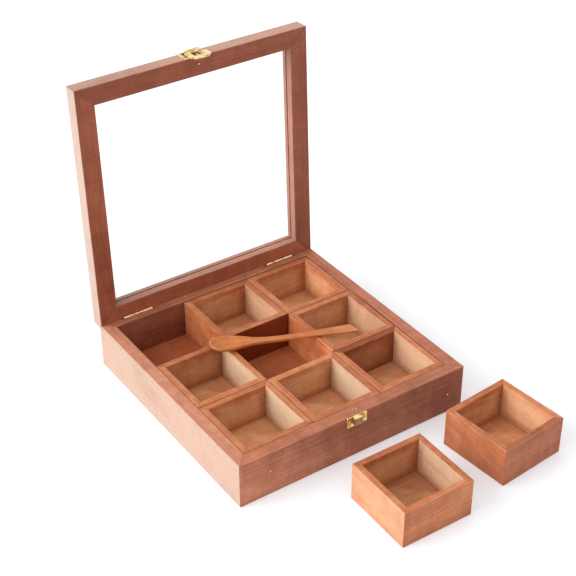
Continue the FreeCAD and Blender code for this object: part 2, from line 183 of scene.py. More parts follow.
def with_face_points(path: np.ndarray, height: float, inward: np.ndarray) -> np.ndarray:
    """Adds points to an outline's straight piece at one height.

    Args:
        path: Closed outline of inward distance, height and wear.
        height: Height of the piece that gets them.
        inward: Their distances inward.
    Returns:
        The longer outline.
    """
    following = np.roll(path, -1, 0)
    level = (abs(path[:, 1] - height) < 0.01) & (abs(following[:, 1] - height) < 0.01)
    length = np.where(level, abs(following[:, 0] - path[:, 0]), 0)
    at = int(np.argmax(length))
    run = np.sort(inward)
    if following[at, 0] < path[at, 0]:
        run = run[::-1]
    extra = np.stack((run, np.full(len(run), height), np.zeros(len(run))), 1)
    return np.concatenate((path[: at + 1], extra, path[at + 1 :]))


class Side(Enum):
    """The four boards of a mitred frame."""

    FRONT = "front"
    BACK = "back"
    LEFT = "left"
    RIGHT = "right"

    @property
    def crosswise(self) -> bool:
        """True for the two boards that run along X."""
        return self in (Side.FRONT, Side.BACK)

    def place(self, along: np.ndarray, inward: np.ndarray, up: np.ndarray, half: tuple[float, float]) -> np.ndarray:
        """Puts a board's own coordinates into the frame.

        Args:
            along: Distance along the board from its middle.
            inward: Distance from the frame's outer face.
            up: Height.
            half: Half the frame's width and depth.
        Returns:
            The same grid as X, Y and Z.
        """
        if self is Side.FRONT:
            return np.stack((along, inward - half[1], up), -1)
        if self is Side.BACK:
            return np.stack((along, half[1] - inward, up), -1)
        if self is Side.LEFT:
            return np.stack((inward - half[0], along, up), -1)
        return np.stack((half[0] - inward, along, up), -1)


@dataclass(frozen=True)
class Look:
    """How one board differs from the rest: its tone, that of its outer and inner face, and its grain.

    A tone above zero is paler and below zero darker. The outer and inner values are painted light and
    shade: they make faces that face the lamp paler and faces in shade darker. Drift is how much it
    changes from the board's middle to its end. Lean is the angle between the grain and the board's
    length, in degrees.
    """

    tone: float = 0.0
    outer: float = 0.0
    inner: float = 0.0
    drift: float = 0.0
    lean: float = 1.5

    def leaned(self, places: np.ndarray) -> np.ndarray:
        """Turns places in the board about its thickness by the lean."""
        angle = math.radians(self.lean)
        along = places[..., 0] * math.cos(angle) + places[..., 2] * math.sin(angle)
        up = places[..., 2] * math.cos(angle) - places[..., 0] * math.sin(angle)
        return np.stack((along, places[..., 1], up), -1)


Reshape = Callable[[np.ndarray, np.ndarray, np.ndarray], tuple[np.ndarray, np.ndarray, np.ndarray]]
SEAM_FAR = 50.0
SUNK = 0.4


def grain_start(name: str) -> np.ndarray:
    """Where a board was sawn from the tree, in metres, the same for a name on every run.

    The first number decouples the patterns of two boards. The other two are the distance to the
    tree's middle, which sets how its rings cross the board.
    """
    random = np.random.default_rng(zlib.crc32(name.encode()))
    signs = random.choice((-1.0, 1.0), 2)
    return np.array((random.uniform(-4, 4), signs[0] * random.uniform(0.01, 0.09), signs[1] * random.uniform(0.03, 0.12)))


def mitred_board(
    name: str,
    side: Side,
    path: np.ndarray,
    half: tuple[float, float],
    corner: float,
    look: Look,
    stations: tuple[float, ...] = (),
    reshape: Reshape | None = None,
    hair: float = 0.04,
) -> Shell:
    """One board of a mitred frame.

    The outline across the board is carried along it. Each of its points ends on the corner's 45
    degree plane: half the board's length less the point's distance inward. Where that plane meets
    the frame's rounded upright corner, the outer points follow the corner's circle inward: its
    radius less the root of the radius squared less the distance past the circle's start squared.

    Args:
        name: Word that fixes the board's grain.
        side: Which board of the frame.
        path: Closed outline of inward distance, height and wear, in millimetres.
        half: Half the frame's width and depth, in millimetres.
        corner: Radius of the frame's upright corners.
        look: The board's tone and the lean of its grain.
        stations: Extra places along the board that get a row of points.
        reshape: Changes along, inward and up after the board is laid out, as for a pocket.
        hair: Gap between a board's end and the joint plane.
    Returns:
        The board as a shell in metres.
    """
    length = half[0] if side.crosswise else half[1]
    inward, up, worn = (path[:, column][None, :] for column in range(3))
    eased = corner * (1 - math.sqrt(0.5))
    end = length - np.maximum(inward, eased) - hair
    offsets = np.array((0, 0.25, 0.5, 0.7072)) * corner
    offsets = np.concatenate((offsets, (corner + 0.5, corner + 3.0)))
    innermost = float((length - inward).min()) - corner - 4.0
    middle = np.unique(np.concatenate((np.linspace(-innermost, innermost, 7), stations)))
    along = np.concatenate(
        (
            -(end - offsets[:, None]),
            np.broadcast_to(middle[:, None], (len(middle), path.shape[0])),
            (end - offsets[::-1, None]),
        )
    )
    past = np.clip(abs(along) - (length - corner), 0, corner * math.sqrt(0.5))
    inset = corner - np.sqrt(corner**2 - past**2)
    inward = np.maximum(np.broadcast_to(inward, along.shape), inset)
    up = np.broadcast_to(up, along.shape).copy()
    seam_and_shade = end - abs(along)
    worn = np.maximum(np.broadcast_to(worn, along.shape), np.where(inset > 0, 1.0, 0.0))
    if reshape:
        level = up
        along, inward, up = reshape(along, inward, up)
        # Points sunk into a hole or pocket are marked -1; the finish paints shade there.
        seam_and_shade = np.where(abs(up - level) > SUNK, -1.0, seam_and_shade)
    points = side.place(along, inward, up, half) * MM
    grain = look.leaned(np.stack((along, inward, up), -1) * MM) + grain_start(name)
    tone = look.tone + look.drift * along / length
    # Outer and inner face tones: painted light on faces that face the lamp, painted shade on faces in shade.
    tone += np.where(inward < 0.3, look.outer, 0) + np.where(inward > inward.max() - 0.05, look.inner, 0)
    marks = {"tone": tone, "bare": np.zeros(along.shape), "wear": worn, "seam_and_shade": seam_and_shade}
    return grid_shell(points, grain, marks)


def slab(
    name: str,
    size: tuple[float, float],
    height: float,
    visible: tuple[float, float],
    tone: float = 0.0,
    bare: float = 0.0,
    ease: float = 0.3,
    lengthwise: bool = True,
) -> Shell:
    """A flat board let into the bottom of a frame, its underside at height zero.

    An outline across Y and Z with rounded corners is carried along X. The seam mark is the distance
    from the walls that stand on it; on raw wood the finish paints shade near them.

    Args:
        name: Word that fixes the board's grain.
        size: Its width and depth, in millimetres.
        height: Its thickness.
        visible: Width and depth of the part between the walls.
        tone: Paler above zero, darker below.
        bare: How unfinished the wood is, from 0 to 1.
        ease: Radius of its arrises.
        lengthwise: True for grain along X, False for grain along Y.
    Returns:
        The board as a shell in metres.
    """
    deep = size[1] / 2
    corners = np.array(((-deep, 0), (deep, 0), (deep, height), (-deep, height)))
    path = rounded_path(corners, np.full(4, ease))
    edge = np.array((0, 0.5, 1.5, 4.0))
    near = visible[1] / 2 - edge
    path = with_face_points(path, height, np.concatenate((-near, near, (0,))))
    near = visible[0] / 2 - edge
    tip = size[0] / 2 - np.array((0, ease))
    along = np.sort(np.concatenate((-near, near, -tip, tip, (0,))))
    grid = np.broadcast_to(along[:, None], (len(along), len(path)))
    across = np.broadcast_to(path[:, 0][None], grid.shape)
    up = np.broadcast_to(path[:, 1][None], grid.shape)
    seam_and_shade = np.minimum(visible[0] / 2 - abs(grid), visible[1] / 2 - abs(across))
    points = np.stack((grid, across, up), -1) * MM
    turned = points if lengthwise else points[..., [1, 0, 2]]
    marks = {
        "tone": np.full(grid.shape, tone),
        "bare": np.full(grid.shape, bare),
        "wear": np.zeros(grid.shape),
        "seam_and_shade": np.clip(seam_and_shade, 0, SEAM_FAR),
    }
    return grid_shell(points, turned + grain_start(name), marks)


def stack(layers: np.ndarray, place: Matrix, steps: int = 4) -> Shell:
    """A pressed or turned metal shape: rounded rectangles laid over one another.

    Args:
        layers: Rows of half width, half depth, corner radius and height, in millimetres.
        place: Puts the layers' X, Y and height into the frame, in metres.
        steps: Straight pieces in each corner's arc.
    Returns:
        The closed shell.
    """
    outlines = []
    for half_x, half_y, radius, height in layers:
        corners = np.array(((-half_x, -half_y), (half_x, -half_y), (half_x, half_y), (-half_x, half_y)))
        path = rounded_path(corners, np.full(4, radius * 0.999), steps, 0.0005)
        path[:, 2] = height
        outlines.append(path)
    points = np.stack(outlines) * MM
    return grid_shell(points).moved(place)


def with_painted_shade(shell: Shell, dark: np.ndarray) -> Shell:
    """The same metal shape with painted shade where an array says so, from 0 to 1."""
    shell.marks["tone"] = -dark
    return shell


def plate_layers(half_x: float, half_y: float, radius: float, low: float, high: float, ease: float) -> np.ndarray:
    """Layers of a flat plate with a rounded edge on its top side.

    Each layer is drawn in by the ease times one less the sine of an angle, and stands at the top
    less the ease times one less its cosine, over a quarter turn.
    """
    angle = np.linspace(0, math.pi / 2, 4)
    inset = ease * (1 - np.cos(angle))
    level = high - ease + ease * np.sin(angle)
    rows = np.stack((half_x - inset, half_y - inset, np.maximum(radius - inset, 0.02), level), 1)
    foot = np.array(((half_x, half_y, radius, low),))
    return np.concatenate((foot, rows))


def rod_layers(radius: float, low: float, high: float, ease: float) -> np.ndarray:
    """Layers of a round bar with both ends eased."""
    angle = np.linspace(0, math.pi / 2, 4)
    inset = ease * (1 - np.cos(angle))
    rise = ease * (1 - np.sin(angle))
    low_half = np.stack((radius - inset, low + rise), 1)[::-1]
    high_half = np.stack((radius - inset, high - rise), 1)
    rows = np.concatenate((low_half, high_half))
    return np.stack((rows[:, 0], rows[:, 0], rows[:, 0], rows[:, 1]), 1)


def axes(x: tuple, y: tuple, z: tuple, at: tuple[float, float, float]) -> Matrix:
    """Matrix whose columns are three directions and a point given in millimetres."""
    matrix = Matrix((x, y, z)).transposed().to_4x4()
    matrix.translation = Vector(at) * MM
    return matrix


# Finishes


class Sketch:
    """Short words for drawing one material's nodes."""

    def __init__(self, name: str) -> None:
        """Starts an empty material.

        Args:
            name: The material's name.
        """
        self.material = bpy.data.materials.new(name)
        self.material.use_nodes = True
        self.tree = self.material.node_tree
        self.tree.nodes.clear()
        self.output = self.node("ShaderNodeOutputMaterial")

    def node(self, kind: str, **settings: object) -> bpy.types.Node:
        """Adds a node with its settings."""
        made = self.tree.nodes.new(kind)
        for name, value in settings.items():
            setattr(made, name, value)
        return made

    def feed(self, socket: bpy.types.NodeSocket, value: object) -> None:
        """Links a socket, or sets it where the value is plain."""
        if isinstance(value, bpy.types.NodeSocket):
            self.tree.links.new(value, socket)
        elif isinstance(value, tuple) and len(value) == 3 and socket.type == "RGBA":
            socket.default_value = (*value, 1.0)
        else:
            socket.default_value = value

    def math(self, operation: str, *values: Number, clamp: bool = False) -> bpy.types.NodeSocket:
        """One sum on numbers."""
        made = self.node("ShaderNodeMath", operation=operation, use_clamp=clamp)
        for socket, value in zip(made.inputs, values):
            self.feed(socket, value)
        return made.outputs[0]

    def vector(self, operation: str, *values: object) -> bpy.types.NodeSocket:
        """One sum on vectors. A length comes back as a number."""
        made = self.node("ShaderNodeVectorMath", operation=operation)
        for socket, value in zip(made.inputs, values):
            self.feed(socket, value)
        return made.outputs["Value" if operation == "LENGTH" else "Vector"]

    def attribute(self, name: str, output: str = "Fac") -> bpy.types.NodeSocket:
        """What the mesh carries under a name."""
        return self.node("ShaderNodeAttribute", attribute_name=name).outputs[output]

    def place(self) -> bpy.types.NodeSocket:
        """The point's own place on the object, in metres."""
        return self.node("ShaderNodeTexCoord").outputs["Object"]

    def noise(self, at: object, detail: float = 2.0, rough: float = 0.5, line: bool = False) -> bpy.types.NodeSocket:
        """Smooth noise from 0 to 1, over space or along a line."""
        made = self.node("ShaderNodeTexNoise", noise_dimensions="1D" if line else "3D")
        self.feed(made.inputs["W" if line else "Vector"], at)
        made.inputs["Scale"].default_value = 1.0
        made.inputs["Detail"].default_value = detail
        made.inputs["Roughness"].default_value = rough
        return made.outputs["Fac"]

    def stretched(self, at: bpy.types.NodeSocket, scale: Colour, detail: float = 2.0, rough: float = 0.5) -> bpy.types.NodeSocket:
        """Noise whose spots are drawn out by a different scale each way."""
        return self.noise(self.vector("MULTIPLY", at, scale), detail, rough)

    def step(self, value: Number, low: float, high: float) -> bpy.types.NodeSocket:
        """Smooth rise from 0 to 1 between two values."""
        made = self.node("ShaderNodeMapRange", interpolation_type="SMOOTHSTEP")
        for name, number in (("Value", value), ("From Min", low), ("From Max", high)):
            self.feed(made.inputs[name], number)
        return made.outputs["Result"]

    def ramp(self, value: Number, stops: tuple[tuple[float, Colour], ...]) -> bpy.types.NodeSocket:
        """Colour from a number through evenly blended stops."""
        made = self.node("ShaderNodeValToRGB")
        elements = made.color_ramp.elements
        while len(elements) < len(stops):
            elements.new(0.5)
        for element, (position, colour) in zip(elements, stops):
            element.position = position
            element.color = (*colour, 1.0)
        self.feed(made.inputs[0], value)
        return made.outputs["Color"]

    def mix(self, share: Number, first: object, second: object, kind: str = "MIX") -> bpy.types.NodeSocket:
        """One colour over another."""
        made = self.node("ShaderNodeMix", data_type="RGBA", blend_type=kind)
        for name, value in (("Factor_Float", share), ("A_Color", first), ("B_Color", second)):
            socket = next(item for item in made.inputs if item.identifier == name)
            self.feed(socket, value)
        return next(item for item in made.outputs if item.identifier == "Result_Color")

    def bump(self, height: bpy.types.NodeSocket, distance: float, strength: float) -> bpy.types.NodeSocket:
        """Normal tilted by a height, in metres."""
        made = self.node("ShaderNodeBump")
        made.inputs["Strength"].default_value = strength
        made.inputs["Distance"].default_value = distance
        self.feed(made.inputs["Height"], height)
        return made.outputs["Normal"]

    def shader(self, **values: object) -> bpy.types.Node:
        """Main shader with its sockets fed by name, an underscore for each space."""
        made = self.node("ShaderNodeBsdfPrincipled")
        for name, value in values.items():
            self.feed(made.inputs[name.replace("_", " ")], value)
        return made

    def surface(self, shader: bpy.types.Node) -> bpy.types.Material:
        """Ends the sketch with its surface."""
        self.tree.links.new(shader.outputs[0], self.output.inputs["Surface"])
        return self.material


@dataclass(frozen=True)
class Wood:
    """Oiled hardwood. Its rings, fibres, pores and streaks lie in the board's own grain coordinates."""

    name: str
    slot: str
    dark: Colour
    middle: Colour
    light: Colour
    # Pale is the colour that faces painted with light and worn arrises lift towards. Deep is the colour that faces
    # painted with shade, raw corners, holes, streaks and joints sink towards.
    pale: Colour
    deep: Colour
    raw_dark: Colour
    raw_light: Colour
    ring_pitch: float = 1.9
    ring_share: float = 0.18
    line_share: float = 0.08
    cloud_share: float = 0.46
    fibre_share: float = 0.28
    ribbon: float = 0.55
    # Painted shade in the corners of raw wood: how far from a joint it reaches, in millimetres, and how dark it gets.
    corner_shade_reach: float = 11.0
    corner_shade_depth: float = 0.5
    raw_most: float = 0.9
    streaks: float = 0.18
    flecks: float = 0.22
    roughness: float = 0.5

    def material(self) -> bpy.types.Material:
        """Draws the wood's nodes once.

        Returns:
            The material, shared by every board with this finish.
        """
        made = bpy.data.materials.get(self.name)
        if made:
            return made
        sketch = Sketch(self.name)
        grain = sketch.attribute("grain", "Vector")
        shade, fibre, streak = self.figure(sketch, grain)
        colour = self.colour(sketch, grain, shade, fibre, streak)
        pores = sketch.stretched(grain, (110.0, 2600.0, 2600.0), 2.0, 0.6)
        pore = sketch.step(pores, 0.60, 0.74)
        colour = sketch.mix(sketch.math("MULTIPLY", pore, 0.30), colour, self.dark, "MULTIPLY")
        raw = self.rawness(sketch, grain)
        height = sketch.math("ADD", sketch.math("MULTIPLY", fibre, 0.7), sketch.math("MULTIPLY", pore, -0.6))
        rough = sketch.math("ADD", self.roughness - 0.08, sketch.math("MULTIPLY", fibre, 0.16))
        rough = sketch.math("ADD", rough, sketch.math("MULTIPLY", raw, 0.22))
        shader = sketch.shader(
            Base_Color=colour,
            Roughness=rough,
            Normal=sketch.bump(height, 0.00012, 0.55),
            Specular_IOR_Level=0.28,
        )
        return sketch.surface(shader)

    def figure(self, sketch: Sketch, grain: bpy.types.NodeSocket) -> tuple[bpy.types.NodeSocket, ...]:
        """The pattern: yearly rings bent by a slow warp, clouds, fibres, ribbon and dark streaks.

        Args:
            sketch: The material being drawn.
            grain: Place in the board.
        Returns:
            Shade from 0 to 1, fibre and streak.
        """
        warp = sketch.node("ShaderNodeTexNoise")
        sketch.feed(warp.inputs["Vector"], sketch.vector("MULTIPLY", grain, (5.0, 16.0, 16.0)))
        warp.inputs["Scale"].default_value = 1.0
        warp.inputs["Detail"].default_value = 2.0
        bend = sketch.vector("MULTIPLY", sketch.vector("SUBTRACT", warp.outputs["Color"], (0.5, 0.5, 0.5)), (0.0, 0.016, 0.016))
        bent = sketch.vector("ADD", grain, bend)
        radius = sketch.vector("LENGTH", sketch.vector("MULTIPLY", bent, (0.0, 1.0, 1.0)))
        turns = sketch.math("MULTIPLY", radius, 1 / (self.ring_pitch * MM))
        rings = sketch.step(sketch.noise(turns, 2.0, 0.6, line=True), 0.2, 0.8)
        lines = sketch.noise(sketch.math("MULTIPLY", turns, 2.7), 1.0, 0.5, line=True)
        clouds = sketch.step(sketch.stretched(grain, (8.0, 24.0, 24.0), 3.0, 0.55), 0.25, 0.75)
        fibre = sketch.stretched(bent, (30.0, 900.0, 900.0), 3.0, 0.65)
        ribbon = sketch.stretched(grain, (110.0, 38.0, 38.0), 3.0, 0.55)
        shade = sketch.math("MULTIPLY", rings, self.ring_share)
        shade = sketch.math("MULTIPLY_ADD", sketch.step(lines, 0.2, 0.8), self.line_share, shade)
        shade = sketch.math("MULTIPLY_ADD", clouds, self.cloud_share, shade)
        shade = sketch.math("MULTIPLY_ADD", sketch.step(fibre, 0.2, 0.8), self.fibre_share, shade)
        shade = sketch.math("MULTIPLY_ADD", sketch.math("SUBTRACT", ribbon, 0.5), self.ribbon, shade)
        streak = sketch.step(sketch.stretched(bent, (4.0, 210.0, 210.0), 1.0, 0.5), 0.64, 0.76)
        return shade, fibre, streak

    def rawness(self, sketch: Sketch, grain: bpy.types.NodeSocket) -> bpy.types.NodeSocket:
        """How unfinished the wood is: the mark, its edge broken up where the oil has crept."""
        creep = sketch.stretched(grain, (60.0, 60.0, 60.0), 3.0, 0.6)
        edge = sketch.math("ADD", sketch.attribute("bare"), sketch.math("MULTIPLY", sketch.math("SUBTRACT", creep, 0.5), 0.9))
        edge = sketch.math("MULTIPLY", edge, sketch.step(sketch.attribute("bare"), 0.0, 0.15))
        return sketch.math("MULTIPLY", sketch.step(edge, 0.0, 1.0), self.raw_most)

    def colour(
        self,
        sketch: Sketch,
        grain: bpy.types.NodeSocket,
        shade: bpy.types.NodeSocket,
        fibre: bpy.types.NodeSocket,
        streak: bpy.types.NodeSocket,
    ) -> bpy.types.NodeSocket:
        """Colour from the pattern, then the board's tone, with painted light and shade on some faces, raw
        wood, painted shade in raw corners and inside holes and pockets, worn arrises and joint lines.

        Args:
            sketch: The material being drawn.
            grain: Place in the board.
            shade: Pattern from 0 to 1.
            fibre: Fine pattern.
            streak: Dark streaks.
        Returns:
            The finished colour.
        """
        body = sketch.ramp(shade, ((0.15, self.dark), (0.50, self.middle), (0.85, self.light)))
        raw = sketch.ramp(shade, ((0.15, self.raw_dark), (0.85, self.raw_light)))
        # Tone above zero lifts the colour towards pale, below zero sinks it towards deep: a board's own tone, and on
        # faces that face the lamp or lie in shade, painted light and shade.
        tone = sketch.attribute("tone")
        glow = sketch.math("MULTIPLY_ADD", sketch.math("MINIMUM", sketch.math("MAXIMUM", tone, 0.0), 0.25), 1.4, 1.0)
        lift = sketch.math("MULTIPLY", sketch.math("SUBTRACT", tone, 0.25), 1 / 0.75, clamp=True)
        sink = sketch.math("MULTIPLY", sketch.math("MINIMUM", tone, 0.0), -1.0)
        body = sketch.mix(1.0, body, glow, "MULTIPLY")
        raw = sketch.mix(1.0, raw, glow, "MULTIPLY")
        shadowed = tuple(part * shade_of for part, shade_of in zip(self.pale, (0.82, 0.73, 0.65)))
        pale = sketch.ramp(shade, ((0.05, shadowed), (0.5, self.pale)))
        body = sketch.mix(lift, body, pale)
        raw = sketch.mix(lift, raw, pale)
        body = sketch.mix(sink, body, sketch.mix(1.0, body, self.deep, "MULTIPLY"))
        raw = sketch.mix(sink, raw, sketch.mix(0.8, raw, self.deep, "MULTIPLY"))
        fleck = sketch.step(sketch.stretched(grain, (180.0, 1300.0, 1300.0), 1.0, 0.5), 0.56, 0.70)
        dark_line = sketch.math("MAXIMUM", sketch.math("MULTIPLY", streak, self.streaks), sketch.math("MULTIPLY", fleck, self.flecks))
        raw_share = self.rawness(sketch, grain)
        colour = sketch.mix(raw_share, body, raw)
        # Painted shade: raw wood darkens near a joint, in the cups' inner corners and along their floors.
        near = sketch.math("SUBTRACT", 1.0, sketch.step(sketch.attribute("seam_and_shade"), 0.0, self.corner_shade_reach))
        near = sketch.math("MULTIPLY", sketch.math("MULTIPLY", near, self.corner_shade_depth), raw_share)
        colour = sketch.mix(near, colour, sketch.mix(1.0, colour, self.deep, "MULTIPLY"))
        colour = sketch.mix(dark_line, colour, sketch.mix(1.0, colour, self.deep, "MULTIPLY"))
        worn = sketch.math("MULTIPLY", sketch.attribute("wear"), sketch.step(fibre, 0.3, 0.7))
        colour = sketch.mix(sketch.math("MULTIPLY", worn, 0.16), colour, self.pale)
        seam_and_shade = sketch.attribute("seam_and_shade")
        joint = sketch.math("SUBTRACT", 1.0, sketch.step(seam_and_shade, 0.0, 0.7))
        colour = sketch.mix(sketch.math("MULTIPLY", joint, 0.35), colour, sketch.mix(1.0, colour, self.deep, "MULTIPLY"))
        # Painted shade inside holes and pockets.
        sunk_shade = sketch.math("SUBTRACT", 1.0, sketch.step(seam_and_shade, -1.0, -0.3))
        return sketch.mix(sunk_shade, colour, sketch.mix(1.0, self.deep, self.dark, "MULTIPLY"))


@dataclass(frozen=True)
class Brass:
    """Polished brass with fine scratches, and painted reflections in bright and dull patches."""

    name: str = "polished_brass"
    slot: str = "brass"
    # Bright and dull are the colours of the painted reflections; dark is the colour of the painted shade.
    bright: Colour = tint(252, 232, 176)
    dull: Colour = tint(214, 168, 88)
    dark: Colour = tint(104, 62, 8)
    roughness: float = 0.2

    def material(self) -> bpy.types.Material:
        """Draws the metal's nodes once. A tone below zero is painted shade and dark reflection: in recesses, under the
        loop's ring and on sides turned from the light.

        Returns:
            The material, shared by all the hardware.
        """
        made = bpy.data.materials.get(self.name)
        if made:
            return made
        sketch = Sketch(self.name)
        place = sketch.place()
        painted_reflections = sketch.stretched(place, (190.0, 190.0, 190.0), 2.0, 0.5)
        spots = sketch.stretched(place, (900.0, 900.0, 900.0), 2.0, 0.6)
        scratches = sketch.stretched(place, (220.0, 2600.0, 2600.0), 1.0, 0.5)
        # Painted reflection: bright and dull patches stand in for the surroundings mirrored in the metal.
        colour = sketch.mix(sketch.step(painted_reflections, 0.42, 0.66), self.bright, self.dull)
        # Painted shade and dark reflection where the tone is below zero, broken up by spots.
        painted_shade = sketch.math("MULTIPLY", sketch.attribute("tone"), sketch.math("MULTIPLY_ADD", spots, -0.5, -0.75), clamp=True)
        colour = sketch.mix(painted_shade, colour, self.dark)
        rough = sketch.math("MULTIPLY_ADD", spots, 0.16, self.roughness - 0.06)
        rough = sketch.math("MULTIPLY_ADD", painted_shade, 0.25, rough)
        shader = sketch.shader(
            Base_Color=colour, Metallic=1.0, Roughness=rough, Normal=sketch.bump(scratches, 0.00001, 0.3)
        )
        return sketch.surface(shader)


@dataclass(frozen=True)
class Glass:
    """Clear float glass with a faint film. Lamps pass through it."""

    name: str = "clear_pane"
    slot: str = "glass"
    colour: Colour = (0.97, 0.985, 0.98)

    def material(self) -> bpy.types.Material:
        """Draws the glass.

        Returns:
            The material of the pane.
        """
        sketch = Sketch(self.name)
        film = sketch.stretched(sketch.place(), (14.0, 14.0, 14.0), 3.0, 0.6)
        rough = sketch.math("MULTIPLY", sketch.step(film, 0.45, 0.8), 0.04)
        glass = sketch.shader(
            Base_Color=self.colour, Roughness=rough, Transmission_Weight=1.0, IOR=1.46
        )
        clear = sketch.node("ShaderNodeBsdfTransparent")
        path = sketch.node("ShaderNodeLightPath")
        either = sketch.node("ShaderNodeMixShader")
        sketch.feed(either.inputs[0], path.outputs["Is Shadow Ray"])
        sketch.feed(either.inputs[1], glass.outputs[0])
        sketch.feed(either.inputs[2], clear.outputs[0])
        return sketch.surface(either)


BOX_WOOD = Wood(
    name="red_brown_wood",
    slot="box_wood",
    dark=tint(140, 80, 56),
    middle=tint(174, 107, 78),
    light=tint(200, 136, 106),
    pale=tint(208, 177, 158),
    deep=tint(150, 112, 96),
    raw_dark=tint(150, 105, 80),
    raw_light=tint(196, 156, 122),
)
LID_WOOD = Wood(
    name="dark_red_brown_wood",
    slot="lid_wood",
    dark=tint(126, 64, 42),
    middle=tint(150, 80, 54),
    light=tint(170, 98, 70),
    pale=tint(206, 176, 160),
    deep=tint(150, 112, 96),
    raw_dark=tint(150, 105, 80),
    raw_light=tint(196, 156, 122),
)
PANEL_WOOD = Wood(
    name="plain_red_brown_wood",
    slot="panel_wood",
    dark=tint(168, 90, 56),
    middle=tint(190, 108, 68),
    light=tint(204, 122, 82),
    pale=tint(230, 180, 150),
    deep=tint(150, 112, 96),
    raw_dark=tint(150, 105, 80),
    raw_light=tint(196, 156, 122),
    ring_share=0.15,
    streaks=0.1,
)
CUP_WOOD = Wood(
    name="orange_brown_wood",
    slot="cup_wood",
    dark=tint(160, 86, 50),
    middle=tint(194, 116, 74),
    light=tint(218, 150, 104),
    pale=tint(226, 198, 166),
    deep=tint(158, 98, 70),
    raw_dark=tint(194, 134, 92),
    raw_light=tint(232, 180, 134),
    roughness=0.46,
)
SPOON_WOOD = Wood(
    name="smooth_orange_wood",
    slot="spoon_wood",
    dark=tint(184, 104, 56),
    middle=tint(208, 130, 76),
    light=tint(226, 152, 96),
    pale=tint(240, 190, 140),
    deep=tint(160, 124, 106),
    raw_dark=tint(176, 132, 94),
    raw_light=tint(226, 190, 150),
    ring_pitch=1.6,
    streaks=0.14,
    flecks=0.08,
    roughness=0.36,
)
BRASS = Brass()
GLASS = Glass()
Finish = Wood | Brass | Glass


def piece(name: str, shells: list[Shell], finish: Finish, body: str, replaced: tuple[str, ...]) -> bpy.types.Object:
    """Makes one visible piece out of shells, finishes it and hands it to its body.

    Args:
        name: The piece's name.
        shells: Its closed surfaces, in place.
        finish: What it is made of.
        body: The body it moves with.
        replaced: The nodes it stands for.
    Returns:
        The new object, at the origin.
    """
    starts = np.cumsum([0] + [len(shell.points) for shell in shells])
    points = np.concatenate([shell.points for shell in shells])
    faces = []
    for start, shell in zip(starts, shells):
        faces += (shell.quads + start).tolist()
        faces += [(cap + start).tolist() for cap in shell.caps]
    mesh = bpy.data.meshes.new(name)
    mesh.from_pydata(points.tolist(), [], faces)
    if isinstance(finish, Glass):
        mesh.shade_flat()
    else:
        mesh.shade_smooth()
        mesh.set_sharp_from_angle(angle=math.radians(38))
    if isinstance(finish, Brass):
        tones = [shell.marks.get("tone", np.zeros(len(shell.points))) for shell in shells]
        values = np.concatenate(tones).astype(np.float32)
        mesh.attributes.new("tone", "FLOAT", "POINT").data.foreach_set("value", values)
    if isinstance(finish, Wood):
        grain = np.concatenate([shell.grain for shell in shells]).astype(np.float32)
        mesh.attributes.new("grain", "FLOAT_VECTOR", "POINT").data.foreach_set("vector", grain.ravel())
        for mark in ("tone", "bare", "wear", "seam_and_shade"):
            values = np.concatenate([shell.marks[mark] for shell in shells]).astype(np.float32)
            mesh.attributes.new(mark, "FLOAT", "POINT").data.foreach_set("value", values)
    mesh.materials.append(finish.material())
    made = bpy.data.objects.new(name, mesh)
    bpy.context.scene.collection.objects.link(made)
    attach(made, body)
    if replaced:
        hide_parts(*replaced)
    log.info("%s: %d faces on %s", name, len(faces), body)
    return made


def dress_node(name: str, finish: Finish) -> None:
    """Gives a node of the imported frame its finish."""
    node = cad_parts[name]
    node.data.materials.clear()
    node.data.materials.append(finish.material())
    log.info("%s: kept, finished as %s", name, finish.name)


# Sub-assemblies


@dataclass
class Hinges:
    """Where the two hinges lie, and the pockets and saw cuts that they need in box and lid."""

    centres: tuple[float, float] = (-84.0, 84.0)
    length: float = 32.0
    inset: float = 3.1
    pocket: float = 1.55
    beyond: float = 2.8
    kerf: float = 1.4
    leaf: float = 12.1
    stop: float = math.radians(1.225)
    step: float = 0.02

    def stations(self) -> tuple[float, ...]:
        """Places along the board on both sides of every pocket and saw cut end."""
        reaches = (self.length / 2 + self.beyond, self.length / 2 + 0.1)
        places = [
            centre + side * (reach + nudge)
            for centre in self.centres
            for side in (-1, 1)
            for reach in reaches
            for nudge in (-self.step, self.step)
        ]
        return tuple(places)

    def face_points(self) -> np.ndarray:
        """Distances inward that a board's outline needs on the hinge face."""
        round_part = self.pocket * np.cos(np.linspace(0, math.pi, 9))
        half = self.kerf / 2
        cuts = np.array((-half - self.step, -half + self.step, half - self.step, half + self.step))
        edge = np.array((-self.pocket - self.step, self.pocket + self.step))
        places = np.concatenate((round_part, cuts, edge)) + self.inset
        return np.unique(np.round(places, 4))

    def depth(self, along: np.ndarray, inward: np.ndarray) -> np.ndarray:
        """How deep the hinge face is cut.

        The pocket is the root of its radius squared less the distance from the pin squared. The saw
        cut is a plain step. Behind the pin the face falls away at half the lid's opening angle.

        Args:
            along: Distance along the board.
            inward: Distance from the back face.
        Returns:
            Depth below the face, in millimetres.
        """
        away = inward - self.inset
        nearest = np.minimum(abs(along - self.centres[0]), abs(along - self.centres[1]))
        pocket = np.sqrt(np.maximum(self.pocket**2 - away**2, 0))
        pocket = np.where(nearest < self.length / 2 + self.beyond, pocket, 0)
        in_cut = (nearest < self.length / 2 + 0.1) & (abs(away) < self.kerf / 2)
        slope = np.maximum(-away, 0) * math.tan(self.stop)
        return np.maximum(np.maximum(pocket, slope), np.where(in_cut, self.leaf, 0))


